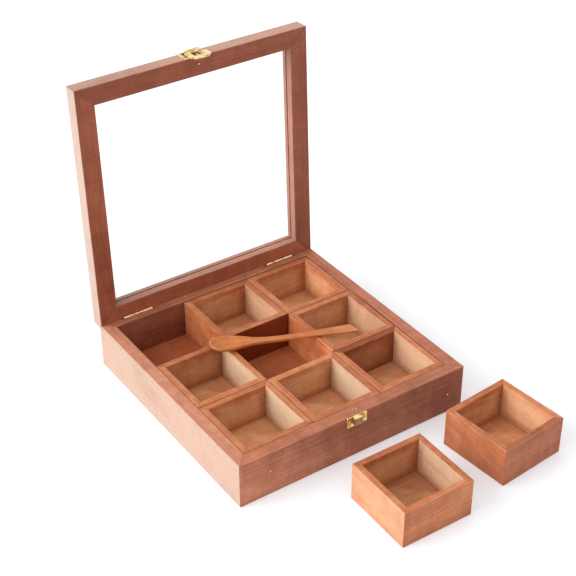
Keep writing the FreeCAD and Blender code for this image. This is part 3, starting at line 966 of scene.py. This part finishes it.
@dataclass
class Box:
    """The tray: four mitred walls, base panel, catch and brads."""

    width: float = 250.0
    depth: float = 252.0
    height: float = 47.0
    wall: float = 12.2
    ease: float = 0.8
    panel: float = 7.2
    rebate: float = 6.0
    hole_x: float = 2.0
    hole_inset: float = 6.4
    hole_radius: float = 1.2
    hole_depth: float = 5.0
    hole_ring: float = 0.5
    catch_drop: float = 0.3
    # Board tones, with painted light and shade on their faces: the left board's outer face, which faces the lamp, is
    # painted paler; the front face, darker towards its right end, and the inner faces of the left and back boards,
    # which lie in shade, are painted darker.
    looks: dict[Side, Look] = field(
        default_factory=lambda: {
            Side.FRONT: Look(0.12, outer=-0.18, drift=-0.18, lean=-1.2),
            Side.BACK: Look(-0.05, inner=-0.5),
            Side.LEFT: Look(0.36, outer=0.55, inner=-0.36),
            Side.RIGHT: Look(0.15, inner=-0.15),
        }
    )
    hinges: Hinges = field(default_factory=Hinges)

    def outline(self) -> np.ndarray:
        """Outline across a wall, with the rebate for the panel."""
        inner = self.wall - self.rebate
        corners = np.array(
            (
                (0, 0),
                (0, self.height),
                (self.wall, self.height),
                (self.wall, self.panel),
                (inner, self.panel),
                (inner, 0),
            )
        )
        return densified(rounded_path(corners, np.array((self.ease, self.ease, 0.3, 0.12, 0.12, 0.12))), 14.0)

    def bored(self, along: np.ndarray, inward: np.ndarray, up: np.ndarray) -> tuple[np.ndarray, np.ndarray, np.ndarray]:
        """Sinks the locating pin's hole into the front wall's rim.

        Around the hole the square grid is drawn into circles: a point is scaled by its larger
        coordinate over its distance, which fades out at three radii. Inside one radius it drops.

        Args:
            along: Distance along the board.
            inward: Distance from the front face.
            up: Height.
        Returns:
            The three grids with the hole in them.
        """
        x = along - self.hole_x
        y = inward - self.hole_inset
        square = np.maximum(abs(x), abs(y))
        distance = np.maximum(np.hypot(x, y), 1e-9)
        top = up > self.height - 0.01
        fade = np.clip((square - self.hole_radius) / (2 * self.hole_radius), 0, 1)
        scale = np.where(top, (square / distance) * (1 - fade) + fade, 1)
        inside = top & (square < self.hole_radius + 0.005)
        return x * scale + self.hole_x, y * scale + self.hole_inset, np.where(inside, up - self.hole_depth, up)

    def hinged(self, along: np.ndarray, inward: np.ndarray, up: np.ndarray) -> tuple[np.ndarray, np.ndarray, np.ndarray]:
        """Cuts the hinge pockets and the stop face into the back wall's rim."""
        depth = self.hinges.depth(along, inward)
        return along, inward, np.where(up > self.height - 0.5, np.minimum(up, self.height - depth), up)

    def walls(self) -> None:
        """Builds the four walls."""
        half = (self.width / 2, self.depth / 2)
        spread = self.hole_radius * np.array((0, 0.35, 0.7, 1.0, 1.01, 1.6, 2.2, 3.0))
        spread = np.concatenate((-spread[:0:-1], spread))
        for side in Side:
            path = self.outline()
            stations: tuple[float, ...] = ()
            reshape = None
            if side is Side.FRONT:
                path = with_face_points(path, self.height, self.hole_inset + spread)
                stations = tuple(self.hole_x + spread)
                reshape = self.bored
            if side is Side.BACK:
                path = with_face_points(path, self.height, self.hinges.face_points())
                stations = self.hinges.stations()
                reshape = self.hinged
            node = f"{side.value}_wall"
            board = mitred_board(node, side, path, half, self.ease, self.looks[side], stations, reshape)
            if side is Side.FRONT:
                at = np.array((self.hole_x, self.hole_inset - half[1], self.height)) * MM
                close = np.linalg.norm(board.points - at, axis=1) < self.hole_radius * 1.7 * MM
                board.marks["tone"] = board.marks["tone"] + np.where(close, self.hole_ring, 0)
            piece(f"{node}_board", [board], BOX_WOOD, "box", (node,))

    def base(self) -> None:
        """Builds the panel that closes the bottom."""
        spread = 2 * (self.rebate - 0.1 - self.wall)
        size = (self.width + spread, self.depth + spread)
        seen = (self.width - 2 * self.wall, self.depth - 2 * self.wall)
        panel = slab("base_panel", size, self.panel, seen, lengthwise=True)
        piece("base_panel_board", [panel], PANEL_WOOD, "box", ("base_panel",))

    def catch(self) -> None:
        """Builds the catch plate with its nose and the two brads, and finishes the hinge leaves, pins and catch screws.
        """
        top = self.height - self.catch_drop
        facing = axes((1, 0, 0), (0, 0, 1), (0, -1, 0), (0, -self.depth / 2, top - 5.5))
        plate = stack(plate_layers(11.0, 5.5, 0.9, 0.0, 0.9, 0.3), facing)
        nose_at = axes((1, 0, 0), (0, 0, 1), (0, -1, 0), (0, -self.depth / 2, top - 0.5 - 4.3))
        layers = plate_layers(4.6, 4.3, 0.8, 0.2, 4.25, 0.7)
        layers = np.concatenate((layers, layers[-1:] - np.array(((0.25, 0.25, 0.0, 0.0),))))
        nose = stack(layers, nose_at)
        # Painted shade and dark reflection on the nose: its front face, its left side and its lower part are darkened.
        across, _, up = (nose.points / MM).T
        aside = (across < -3.6) & (up < top - 1.2)
        below = up < top - 8.0
        face = np.arange(len(across)) >= len(across) * (1 - 1 / len(layers))
        nose = with_painted_shade(nose, np.where(face, 0.6, np.where(aside, 0.7, np.where(below, 0.5, 0.0))))
        piece("catch_plate_pressed", [plate, nose], BRASS, "box", ("catch_plate",))
        for name in ("left_base_leaf", "right_base_leaf", "left_hinge_pin", "right_hinge_pin", "catch_screws"):
            dress_node(name, BRASS)
        heads = []
        for x, z in ((-93.2, 26.5), (106.9, 21.2)):
            at = axes((1, 0, 0), (0, 0, 1), (0, -1, 0), (x, -self.depth / 2, z))
            heads.append(stack(rod_layers(0.9, -6.0, 0.18, 0.17), at))
        piece("front_brad_heads", heads, BRASS, "box", ("front_brads",))

    def build(self) -> None:
        """Builds the whole tray."""
        self.walls()
        self.base()
        self.catch()


@dataclass
class Lid:
    """The glazed lid as it stands open, with its half of the hinges, pin and hasp plate."""

    width: float = 250.0
    depth: float = 252.0
    thickness: float = 15.5
    member: float = 19.0
    ease: float = 0.8
    inner_ease: float = 0.7
    groove_low: float = 8.3
    groove_high: float = 10.5
    groove: float = 5.0
    opened: float = -92.4
    low: float = 47.0
    # How dark the painted shade on the hasp plate's middle is.
    plate_painted_shade: float = 1.0
    # Painted light: the front rail's outer face, now the open lid's top edge, the left stile's outer face, the back
    # rail's inner face, which now faces up, and the right stile's inner face, which faces the lamp, are painted paler.
    looks: dict[Side, Look] = field(
        default_factory=lambda: {
            Side.FRONT: Look(outer=0.68),
            Side.BACK: Look(0.05, inner=0.5),
            Side.LEFT: Look(outer=1.0),
            Side.RIGHT: Look(-0.06, inner=0.6),
        }
    )
    hinges: Hinges = field(default_factory=Hinges)

    def raised(self) -> Matrix:
        """Turns a piece of the closed lid up to where the lid stands."""
        pin = Matrix.Translation(Vector((0, self.depth / 2 - self.hinges.inset, self.low)) * MM)
        return pin @ Matrix.Rotation(math.radians(self.opened), 4, "X") @ pin.inverted()

    def outline(self) -> np.ndarray:
        """Outline across a member, with the groove for the glass."""
        deep = self.member - self.groove
        corners = np.array(
            (
                (0, 0),
                (0, self.thickness),
                (self.member, self.thickness),
                (self.member, self.groove_high),
                (deep, self.groove_high),
                (deep, self.groove_low),
                (self.member, self.groove_low),
                (self.member, 0),
            )
        )
        radii = np.array((self.ease, self.ease, 0.5, 0.12, 0.12, 0.12, 0.12, self.inner_ease))
        path = densified(rounded_path(corners, radii), 9.0)
        path[:, 1] += self.low
        return path

    def hinged(self, along: np.ndarray, inward: np.ndarray, up: np.ndarray) -> tuple[np.ndarray, np.ndarray, np.ndarray]:
        """Cuts the hinge pockets and the stop face into the back rail."""
        depth = self.hinges.depth(along, inward)
        return along, inward, np.where(up < self.low + 0.5, np.maximum(up, self.low + depth), up)

    def members(self) -> None:
        """Builds the two rails and the two stiles."""
        half = (self.width / 2, self.depth / 2)
        names = {Side.FRONT: "lid_front_rail", Side.BACK: "lid_back_rail", Side.LEFT: "lid_left_stile", Side.RIGHT: "lid_right_stile"}
        for side, node in names.items():
            path = self.outline()
            stations: tuple[float, ...] = ()
            reshape = None
            if side is Side.BACK:
                path = with_face_points(path, self.low, self.hinges.face_points())
                stations = self.hinges.stations()
                reshape = self.hinged
            board = mitred_board(node, side, path, half, self.ease, self.looks[side], stations, reshape)
            piece(f"{node}_board", [board.moved(self.raised())], LID_WOOD, "lid", (node,))

    def pane(self) -> None:
        """Builds the pane with ground edges."""
        half_x = self.width / 2 - self.member + self.groove - 0.5
        half_y = self.depth / 2 - self.member + self.groove - 0.5
        layers = np.array(
            (
                (half_x - 0.3, half_y - 0.3, 1.0, 0.0),
                (half_x, half_y, 1.0, 0.3),
                (half_x, half_y, 1.0, 1.7),
                (half_x - 0.3, half_y - 0.3, 1.0, 2.0),
            )
        )
        at = Matrix.Translation((0, 0, (self.low + self.groove_low + 0.1) * MM))
        piece("glass_pane_sheet", [stack(layers, self.raised() @ at)], GLASS, "lid", ("glass_pane",))

    def hardware(self) -> None:
        """Builds the hasp plate with its ears, and finishes the rest."""
        front = -self.depth / 2
        turned = self.raised()
        facing = axes((1, 0, 0), (0, 0, 1), (0, -1, 0), (0, front, self.low + self.thickness / 2))
        layers = plate_layers(11.0, 7.15, 0.9, 0.0, 0.9, 0.3)
        inset = np.array(((1.0, 0.4, 0.0, 0.0), (2.4, 1.0, 0.0, 0.0), (2.8, 1.2, 0.0, 0.0)))
        layers = np.concatenate((layers, layers[-1:] - inset))
        plate = stack(layers, turned @ facing)
        # Painted shade and dark reflection on the plate's middle, under the loop's ring.
        ring = np.repeat(np.array((0, 0, 0, 0, 0, 0.1, 0.5, 1.0)), len(plate.points) // len(layers))
        shells = [with_painted_shade(plate, ring * self.plate_painted_shade)]
        pivot = (front - 5.2, self.low + 5.4)
        for side in (-1, 1):
            inner = side * 5.95
            at = axes((0, 1, 0), (0, 0, 1), (1, 0, 0), (min(inner, inner + side * 1.6), pivot[0], pivot[1]))
            shells.append(stack(rod_layers(1.6, 0.0, 1.6, 0.2), turned @ at))
            foot = axes((1, 0, 0), (0, 0, 1), (0, -1, 0), (inner + side * 0.8, front, pivot[1]))
            shells.append(stack(plate_layers(0.8, 1.6, 0.2, 0.5, 5.2, 0.1), turned @ foot))
        piece("hasp_plate_pressed", shells, BRASS, "lid", ("hasp_plate",))
        for name in ("left_lid_leaf", "right_lid_leaf", "hasp_pin", "hasp_screws", "locating_pin"):
            dress_node(name, BRASS)

    def build(self) -> None:
        """Builds the whole lid."""
        self.members()
        self.pane()
        self.hardware()


@dataclass
class Loop:
    """The eight-sided brass ring on the lid's front edge."""

    lid: Lid
    half_width: float = 11.4
    back: float = 2.3
    window_start: float = 4.8
    window_length: float = 10.6
    window_half: float = 5.4
    band: float = 6.0
    corner: float = 5.0
    thickness: float = 1.2
    count: int = 120

    def ring(self) -> np.ndarray:
        """Ring between an eight-sided outline and a rounded window.

        For each direction from the window's middle, the outer edge is the nearest of eight straight
        sides: its distance over the cosine of the angle to it. The window is a rounded rectangle:
        one over the eighth root of the sum of the direction's parts over the half sizes to the
        eighth. Across the band a closed outline runs from one edge to the other and back.

        Returns:
            Grid of X, depth and distance below the pivot, in millimetres.
        """
        middle = self.window_start + self.window_length / 2
        half_low = self.window_length / 2 + self.band
        half_high = middle - self.back
        angle = np.linspace(0, 2 * math.pi, self.count, endpoint=False) + 0.001
        x, y = np.cos(angle), np.sin(angle)
        normals = np.radians(np.array((0, 45, 90, 135, 180, 225, 270, 315)))
        diagonal_low = (self.half_width + half_low - self.corner) * math.sqrt(0.5)
        diagonal_high = (self.half_width + half_high - self.corner) * math.sqrt(0.5)
        reach = np.array(
            (self.half_width, diagonal_low, half_low, diagonal_low, self.half_width, diagonal_high, half_high, diagonal_high)
        )
        facing = np.cos(angle[:, None] - normals[None])
        outer = np.where(facing > 0.01, reach[None] / np.maximum(facing, 0.01), 1e6).min(1)
        power = 8
        inner = (abs(x / self.window_half) ** power + abs(y / (self.window_length / 2)) ** power) ** (-1 / power)
        half = self.thickness / 2
        share = np.array((0.0, 0.03, 0.10, 0.5, 0.90, 0.97, 1.0, 1.0, 0.97, 0.5, 0.03, 0.0))
        depth = np.array((0.2, 0.75, 1.0, 1.0, 1.0, 0.75, 0.2, -0.7, -1.0, -1.0, -1.0, -0.7)) * half
        radius = inner[:, None] + (outer - inner)[:, None] * share[None]
        across = radius * x[:, None]
        down = middle + radius * y[:, None]
        out = np.broadcast_to(depth[None], across.shape)
        return np.stack((across, -out, -down), -1)

    def build(self) -> None:
        """Builds the ring with its neck and knuckle."""
        turned = self.lid.raised()
        pivot = (0, -self.lid.depth / 2 - 5.2, self.lid.low + 5.4)
        at = Matrix.Translation(Vector(pivot) * MM)
        across = self.ring()
        # Painted shade on the ring's underside.
        underside_shade = np.clip(0.5 - across[..., 1] / -self.thickness, 0, 1) * 0.6
        ring = grid_shell(across * MM, marks={"tone": -underside_shade}, ends=False).moved(turned @ at)
        knuckle_at = axes((0, 1, 0), (0, 0, 1), (1, 0, 0), (-5.8, pivot[1], pivot[2]))
        knuckle = stack(rod_layers(1.6, 0.0, 11.6, 0.2), turned @ knuckle_at)
        neck_at = axes((1, 0, 0), (0, 0, 1), (0, -1, 0), (0, pivot[1] + 0.6, pivot[2] - 1.8))
        neck = stack(plate_layers(5.8, 1.8, 0.1, 0.0, 1.2, 0.1), turned @ neck_at)
        piece("hasp_loop_ring", [ring, knuckle, neck], BRASS, "loop", ("hasp_loop",))


@dataclass
class Cup:
    """One loose cup: four mitred walls oiled outside and raw inside, and a floor."""

    number: int
    x: float
    y: float
    z: float
    turn: float = 0.0
    looks: dict[str, Look] = field(default_factory=dict)
    size_x: float = 74.1333
    size_y: float = 74.8
    height: float = 39.4
    wall: float = 6.2
    floor: float = 3.0
    rebate: float = 3.0
    ease: float = 0.5
    oiled: float = 0.5
    creep: float = 13.0

    def outline(self) -> np.ndarray:
        """Outline across a wall, with the rebate for the floor."""
        inner = self.wall - self.rebate
        corners = np.array(
            (
                (0, 0),
                (0, self.height),
                (self.wall, self.height),
                (self.wall, self.floor),
                (inner, self.floor),
                (inner, 0),
            )
        )
        return densified(rounded_path(corners, np.array((self.ease, self.ease, 0.4, 0.1, 0.1, 0.1))), 3.5)

    def place(self) -> Matrix:
        """Where the cup stands."""
        return Matrix.Translation(Vector((self.x, self.y, self.z)) * MM) @ Matrix.Rotation(math.radians(self.turn), 4, "Z")

    def board(self, side: Side) -> Shell:
        """One wall. Inside, the oil fades out below the rim."""
        path = self.outline()
        half = (self.size_x / 2, self.size_y / 2)
        name = f"cup_{self.number}_{side.value}"
        # The right wall's inner face, which faces the lamp, is painted paler: painted light.
        usual = {Side.RIGHT: Look(inner=0.8)}
        look = self.looks.get(side.value, usual.get(side, Look()))
        shell = mitred_board(name, side, path, half, self.ease, look, hair=0.03)
        rows = len(shell.points) // len(path)
        below = self.height - np.tile(path[:, 1], rows)
        inside = np.tile(path[:, 0], rows) > self.wall - 0.02
        shell.marks["bare"] = np.where(inside, np.clip((below - self.oiled) / self.creep, 0, 1), 0.0)
        # Inside, the seam mark also takes the height above the floor, so that the finish paints shade low on the walls
        # near the floor.
        above = np.where(inside, self.height - self.floor - below, SEAM_FAR)
        shell.marks["seam_and_shade"] = np.minimum(shell.marks["seam_and_shade"], np.maximum(above, 0.7))
        return shell

    def build(self) -> None:
        """Builds the walls in two pairs, and the floor."""
        place = self.place()
        body = f"cup_{self.number}"
        sides = [self.board(side).moved(place) for side in (Side.LEFT, Side.RIGHT)]
        piece(f"{body}_sides_boards", sides, CUP_WOOD, body, (f"{body}_sides",))
        ends = [self.board(side).moved(place) for side in (Side.FRONT, Side.BACK)]
        piece(f"{body}_ends_boards", ends, CUP_WOOD, body, (f"{body}_ends",))
        spread = 2 * (self.rebate - 0.05 - self.wall)
        size = (self.size_x + spread, self.size_y + spread)
        seen = (self.size_x - 2 * self.wall, self.size_y - 2 * self.wall)
        tone = self.looks.get("floor", Look(0.14)).tone
        board = slab(f"{body}_floor", size, self.floor, seen, tone, 1.0, 0.2)
        piece(f"{body}_floor_board", [board.moved(place)], CUP_WOOD, body, (f"{body}_floor",))


@dataclass
class CupSet:
    """Seven cups in the tray's three by three grid and two on the table."""

    pitch_x: float = 74.9333
    pitch_y: float = 75.6
    floor: float = 7.2
    empty: tuple[tuple[int, int], ...] = ((0, 2), (1, 1))
    loose: tuple[tuple[float, float, float], ...] = ((-1.3, -208.0, -0.8), (115.6, -194.3, 5.1))
    # Board tones differ cup by cup. The outer and inner values are painted light and shade: the inner faces of the
    # right walls and the outer faces of some left walls, which face the lamp, are painted paler, and cup 6's front
    # face, towards the empty middle cell, is painted darker.
    looks: dict[int, dict[str, Look]] = field(
        default_factory=lambda: {
            1: {"front": Look(-0.1), "left": Look(-0.06), "right": Look(inner=1.0)},
            2: {"front": Look(-0.14), "back": Look(0.02), "right": Look(inner=1.0)},
            3: {"back": Look(-0.65, lean=48.0), "right": Look(inner=0.75)},
            4: {"back": Look(-0.3), "right": Look(inner=1.0)},
            5: {"left": Look(outer=0.2), "right": Look(inner=0.75)},
            6: {"front": Look(outer=-0.9), "left": Look(outer=0.08), "right": Look(inner=0.7)},
            7: {"right": Look(inner=0.3)},
            8: {"front": Look(0.06), "left": Look(outer=0.47), "right": Look(inner=0.85), "floor": Look(-0.15)},
            9: {"front": Look(-0.3), "back": Look(-0.1), "left": Look(lean=9.0), "right": Look(inner=0.48)},
        }
    )

    def build(self) -> None:
        """Builds the cups row by row from the front, then those on the table."""
        spots = [
            ((column - 1) * self.pitch_x, (row - 1) * self.pitch_y, self.floor, 0.0)
            for row in range(3)
            for column in range(3)
            if (column, row) not in self.empty
        ]
        spots += [(x, y, 0.0, turn) for x, y, turn in self.loose]
        for number, (x, y, z, turn) in enumerate(spots, start=1):
            Cup(number, x, y, z, turn, self.looks.get(number, {})).build()


@dataclass
class Spoon:
    """A small spoon carved from one piece of wood, lying across two cups."""

    sections: np.ndarray = field(
        default_factory=lambda: np.array(
            (
                (0.4, 3.3, 4.6, 1.5, 0.4, 0.0),
                (1.8, 5.9, 4.5, 2.9, 1.6, 0.15),
                (2.8, 7.1, 4.5, 3.7, 3.9, 1.5),
                (4.0, 8.3, 4.4, 4.5, 5.6, 2.5),
                (5.8, 9.3, 4.4, 5.4, 7.3, 3.6),
                (9.0, 10.4, 4.2, 6.4, 8.7, 4.6),
                (14.5, 10.9, 4.0, 7.2, 9.3, 5.2),
                (21.0, 10.4, 3.7, 7.3, 8.9, 5.2),
                (28.0, 8.9, 3.4, 6.9, 7.1, 4.3),
                (35.0, 6.9, 2.9, 6.2, 4.9, 2.6),
                (40.0, 5.6, 2.4, 5.7, 3.0, 1.2),
                (44.0, 4.8, 2.0, 5.3, 1.2, 0.15),
                (51.0, 4.0, 1.3, 4.9, 1.0, 0.0),
                (63.0, 3.5, 0.6, 4.5, 1.0, 0.0),
                (78.0, 3.6, 0.2, 4.2, 1.0, 0.0),
                (92.0, 3.9, 0.1, 3.9, 1.0, 0.0),
                (106.0, 4.4, 0.0, 3.5, 1.0, 0.0),
                (119.0, 5.0, 0.0, 3.2, 1.0, 0.0),
                (131.0, 5.5, 0.0, 3.0, 1.0, 0.0),
                (142.5, 5.7, 0.0, 2.9, 1.0, 0.0),
            )
        )
    )
    edge: float = 0.6
    roundness: float = 2.3
    slant: float = 0.47
    turn: float = -20.8
    rest: float = 19.1
    cross_y: float = 23.0
    gap: float = 0.15
    rim: float = 46.6
    cup_x: float = 74.1333
    cup_gap: float = 0.8
    cup_wall: float = 6.2

    def lines(self, distance: np.ndarray) -> np.ndarray:
        """Half width, top, thickness, hollow half width and depth along the spoon.

        Between the measured sections each number follows a curve whose slope at a section is the
        mean of the slopes on both sides, weighted so that it never overshoots.
        """
        table = self.sections
        steps = np.diff(table[:, 0])[:, None]
        rises = np.diff(table[:, 1:], axis=0) / steps
        product = rises[:-1] * rises[1:]
        total = rises[:-1] + rises[1:]
        inner = np.where(product > 0, 2 * product / np.where(abs(total) > 1e-9, total, 1), 0)
        slopes = np.concatenate((rises[:1], inner, rises[-1:]))
        at = np.clip(np.searchsorted(table[:, 0], distance, side="right") - 1, 0, len(table) - 2)
        width = steps[at]
        share = ((distance - table[at, 0]) / width[:, 0])[:, None]
        low, high = table[at, 1:], table[at + 1, 1:]
        straight = low * (1 + 2 * share) * (1 - share) ** 2 + high * share**2 * (3 - 2 * share)
        leaning = slopes[at] * share * (1 - share) ** 2 - slopes[at + 1] * share**2 * (1 - share)
        return straight + leaning * width

    def surface(self) -> tuple[np.ndarray, np.ndarray]:
        """The whole spoon as outlines across it.

        The underside is a rounded line: across to a power plus down to the same power is one. Over
        it a small quarter circle eases each rim, and an arc that hangs as deep as the hollow joins
        the rims. At both ends the outlines shrink on a quarter circle.

        Returns:
            Grid of distance from the tip, across and up in millimetres, and the wear on it.
        """
        start, end = self.sections[0, 0], self.sections[-1, 0]
        tip = start + 5.6 * (1 - np.cos(np.linspace(0, math.pi / 2, 14)))
        distance = np.unique(np.concatenate((tip, np.linspace(6.2, 50, 46), np.linspace(51, end, 60))))
        half, top, thick, hollow_half, hollow = self.lines(distance).T[:, :, None]
        turn = np.linspace(0, math.pi, 29)[None]
        across = np.sign(np.cos(turn)) * abs(np.cos(turn)) ** (2 / self.roundness)
        down = (1 - abs(across) ** self.roundness) ** (1 / self.roundness)
        under = np.stack((half * across, top - self.edge - (thick - self.edge) * down), -1)
        ease = np.linspace(0, math.pi / 2, 5)[None, 1:]
        rim_y = half - self.edge + self.edge * np.cos(ease)
        rim_z = top - self.edge + self.edge * np.sin(ease)
        near_rim = np.stack((-rim_y, rim_z), -1)
        far_rim = np.stack((rim_y, rim_z), -1)[:, ::-1]
        across_top = np.linspace(-1, 1, 25)[None]
        hollow_half = np.minimum(hollow_half, half - self.edge - 0.15)
        top_y = across_top * hollow_half
        bowl = top - hollow * (1 - across_top**2) ** 0.72
        inside = np.stack((top_y, bowl), -1)
        outline = np.concatenate((under, near_rim, inside, far_rim), 1)
        first = np.ones((1, outline.shape[1], 1))
        closing = []
        for row, toward in ((0, -1.0), (-1, 1.0)):
            centre = outline[row].mean(0)
            for share, reach in ((0.93, 0.18), (0.75, 0.36), (0.4, 0.48)):
                closing.append((row, toward * reach, centre + (outline[row] - centre) * share))
        head = [item for item in closing if item[0] == 0][::-1]
        tail = [item for item in closing if item[0] == -1]
        flat = np.concatenate((np.stack([item[2] for item in head]), outline, np.stack([item[2] for item in tail])))
        along = np.concatenate(
            ([start + item[1] * 0.8 for item in head], distance, [end - 0.5 + item[1] for item in tail])
        )
        fade = np.clip((along - 119) / (end - 119), 0, 1)[:, None]
        place = along[:, None] * first[:, :, 0] - self.slant * flat[..., 0] * fade
        return np.stack((place, flat[..., 0], flat[..., 1]), -1), np.zeros(flat.shape[:2])

    def place(self) -> Matrix:
        """Lays the spoon on the left cup's right wall and the right cup's left wall."""
        wall_middle = self.cup_x / 2 + self.cup_gap - (self.cup_gap - self.cup_wall) / 2
        span = 2 * wall_middle / math.cos(math.radians(self.turn))
        low = np.interp((self.rest, self.rest + span), self.sections[:, 0], self.sections[:, 2] - self.sections[:, 3])
        pitch = math.atan((low[1] - low[0]) / span)
        lie = Matrix.Rotation(math.radians(self.turn), 4, "Z") @ Matrix.Rotation(pitch, 4, "Y")
        start = Matrix.Translation(Vector((-self.rest, 0, -low[0])) * MM)
        spot = Vector((-wall_middle, self.cross_y, self.rim + self.gap)) * MM
        return Matrix.Translation(spot) @ lie @ start

    def build(self) -> None:
        """Builds the spoon."""
        points, worn = self.surface()
        marks = {"tone": worn * 0, "bare": worn * 0, "wear": worn, "seam_and_shade": worn + SEAM_FAR}
        grain = points * MM + np.array((1.7, 0.012, 0.02))
        shell = grid_shell(points * MM, grain, marks)
        piece("spoon_carved", [shell.moved(self.place())], SPOON_WOOD, "spoon", ("spoon",))


# Studio


@dataclass
class Studio:
    """White floor and surround, soft light from the left, and the camera."""

    fill: float = 0.84
    key: float = 2.2
    key_towards: Colour = (0.86, -0.22, -0.46)
    key_softness: float = 50.0
    floor_glow: float = 0.25
    target: Colour = (0.10166, 0.13203, 0.0)
    distance: float = 1.4927
    azimuth: float = -34.238
    elevation: float = 34.184
    roll: float = -0.212
    lens: float = 86.83

    def seen_directly(self, sketch_nodes: bpy.types.Nodes, links: bpy.types.NodeLinks) -> bpy.types.NodeSocket:
        """1 for rays from the camera, straight or by way of gloss and glass.

        Args:
            sketch_nodes: Where the nodes go.
            links: Their links.
        Returns:
            The number's socket.
        """
        path = sketch_nodes.new("ShaderNodeLightPath")
        total = path.outputs["Is Camera Ray"]
        for name in ("Is Glossy Ray", "Is Transmission Ray"):
            both = sketch_nodes.new("ShaderNodeMath")
            both.operation = "MAXIMUM"
            links.new(total, both.inputs[0])
            links.new(path.outputs[name], both.inputs[1])
            total = both.outputs[0]
        return total

    def surround(self) -> None:
        """Makes the world white to the camera and a plain fill for the rest."""
        world = bpy.data.worlds.new("white_surround")
        bpy.context.scene.world = world
        world.use_nodes = True
        nodes, links = world.node_tree.nodes, world.node_tree.links
        nodes.clear()
        output = nodes.new("ShaderNodeOutputWorld")
        either = nodes.new("ShaderNodeMixShader")
        for socket, strength in ((1, self.fill), (2, 1.0)):
            background = nodes.new("ShaderNodeBackground")
            background.inputs["Color"].default_value = (1, 1, 1, 1)
            background.inputs["Strength"].default_value = strength
            links.new(background.outputs[0], either.inputs[socket])
        links.new(self.seen_directly(nodes, links), either.inputs[0])
        links.new(either.outputs[0], output.inputs["Surface"])

    def floor(self) -> None:
        """Lays the white floor, which keeps the object's soft shadow."""
        sketch = Sketch("white_floor")
        paper = sketch.shader(Base_Color=(0.82, 0.85, 0.89), Roughness=0.9, Specular_IOR_Level=0.0)
        glow = sketch.node("ShaderNodeEmission")
        seen = self.seen_directly(sketch.tree.nodes, sketch.tree.links)
        sketch.feed(glow.inputs["Strength"], sketch.math("MULTIPLY", seen, self.floor_glow))
        both = sketch.node("ShaderNodeAddShader")
        sketch.feed(both.inputs[0], paper.outputs[0])
        sketch.feed(both.inputs[1], glow.outputs[0])
        mesh = bpy.data.meshes.new("floor")
        reach = 6.0
        corners = [(-reach, -reach, 0), (reach, -reach, 0), (reach, reach, 0), (-reach, reach, 0)]
        mesh.from_pydata([(x, y, -0.0002) for x, y, _ in corners], [], [(0, 1, 2, 3)])
        mesh.materials.append(sketch.surface(both))
        made = bpy.data.objects.new("floor", mesh)
        bpy.context.scene.collection.objects.link(made)

    def lamp(self) -> None:
        """Hangs one broad light, high on the left."""
        light = bpy.data.lights.new("broad_light", "SUN")
        light.energy = self.key
        light.angle = math.radians(self.key_softness)
        made = bpy.data.objects.new("broad_light", light)
        made.rotation_mode = "QUATERNION"
        made.rotation_quaternion = Vector(self.key_towards).to_track_quat("-Z", "Y")
        bpy.context.scene.collection.objects.link(made)

    def camera(self) -> None:
        """Sets the camera up at the photograph's viewing angle."""
        turn, rise = math.radians(self.azimuth), math.radians(self.elevation)
        back = Vector((math.sin(turn) * math.cos(rise), -math.cos(turn) * math.cos(rise), math.sin(rise)))
        data = bpy.data.cameras.new("camera")
        data.lens = self.lens
        data.sensor_width = 36.0
        made = bpy.data.objects.new("camera", data)
        look = (-back).to_track_quat("-Z", "Y").to_matrix().to_4x4()
        spin = Matrix.Rotation(math.radians(self.roll), 4, "Z")
        made.matrix_world = Matrix.Translation(Vector(self.target) + back * self.distance) @ look @ spin
        bpy.context.scene.collection.objects.link(made)
        bpy.context.scene.camera = made

    def build(self) -> None:
        """Sets up everything that isn't the object."""
        self.surround()
        self.floor()
        self.lamp()
        self.camera()
        bpy.context.scene.view_settings.view_transform = "Standard"


def main() -> None:
    """Builds the object's sub-assemblies in order, then the studio."""
    logging.basicConfig(level=logging.INFO, format="%(name)s: %(message)s")
    lid = Lid()
    for assembly in (Box(), lid, Loop(lid), CupSet(), Spoon(), Studio()):
        assembly.build()
        log.info("%s is done", type(assembly).__name__)


if __name__ == "__main__":
    main()
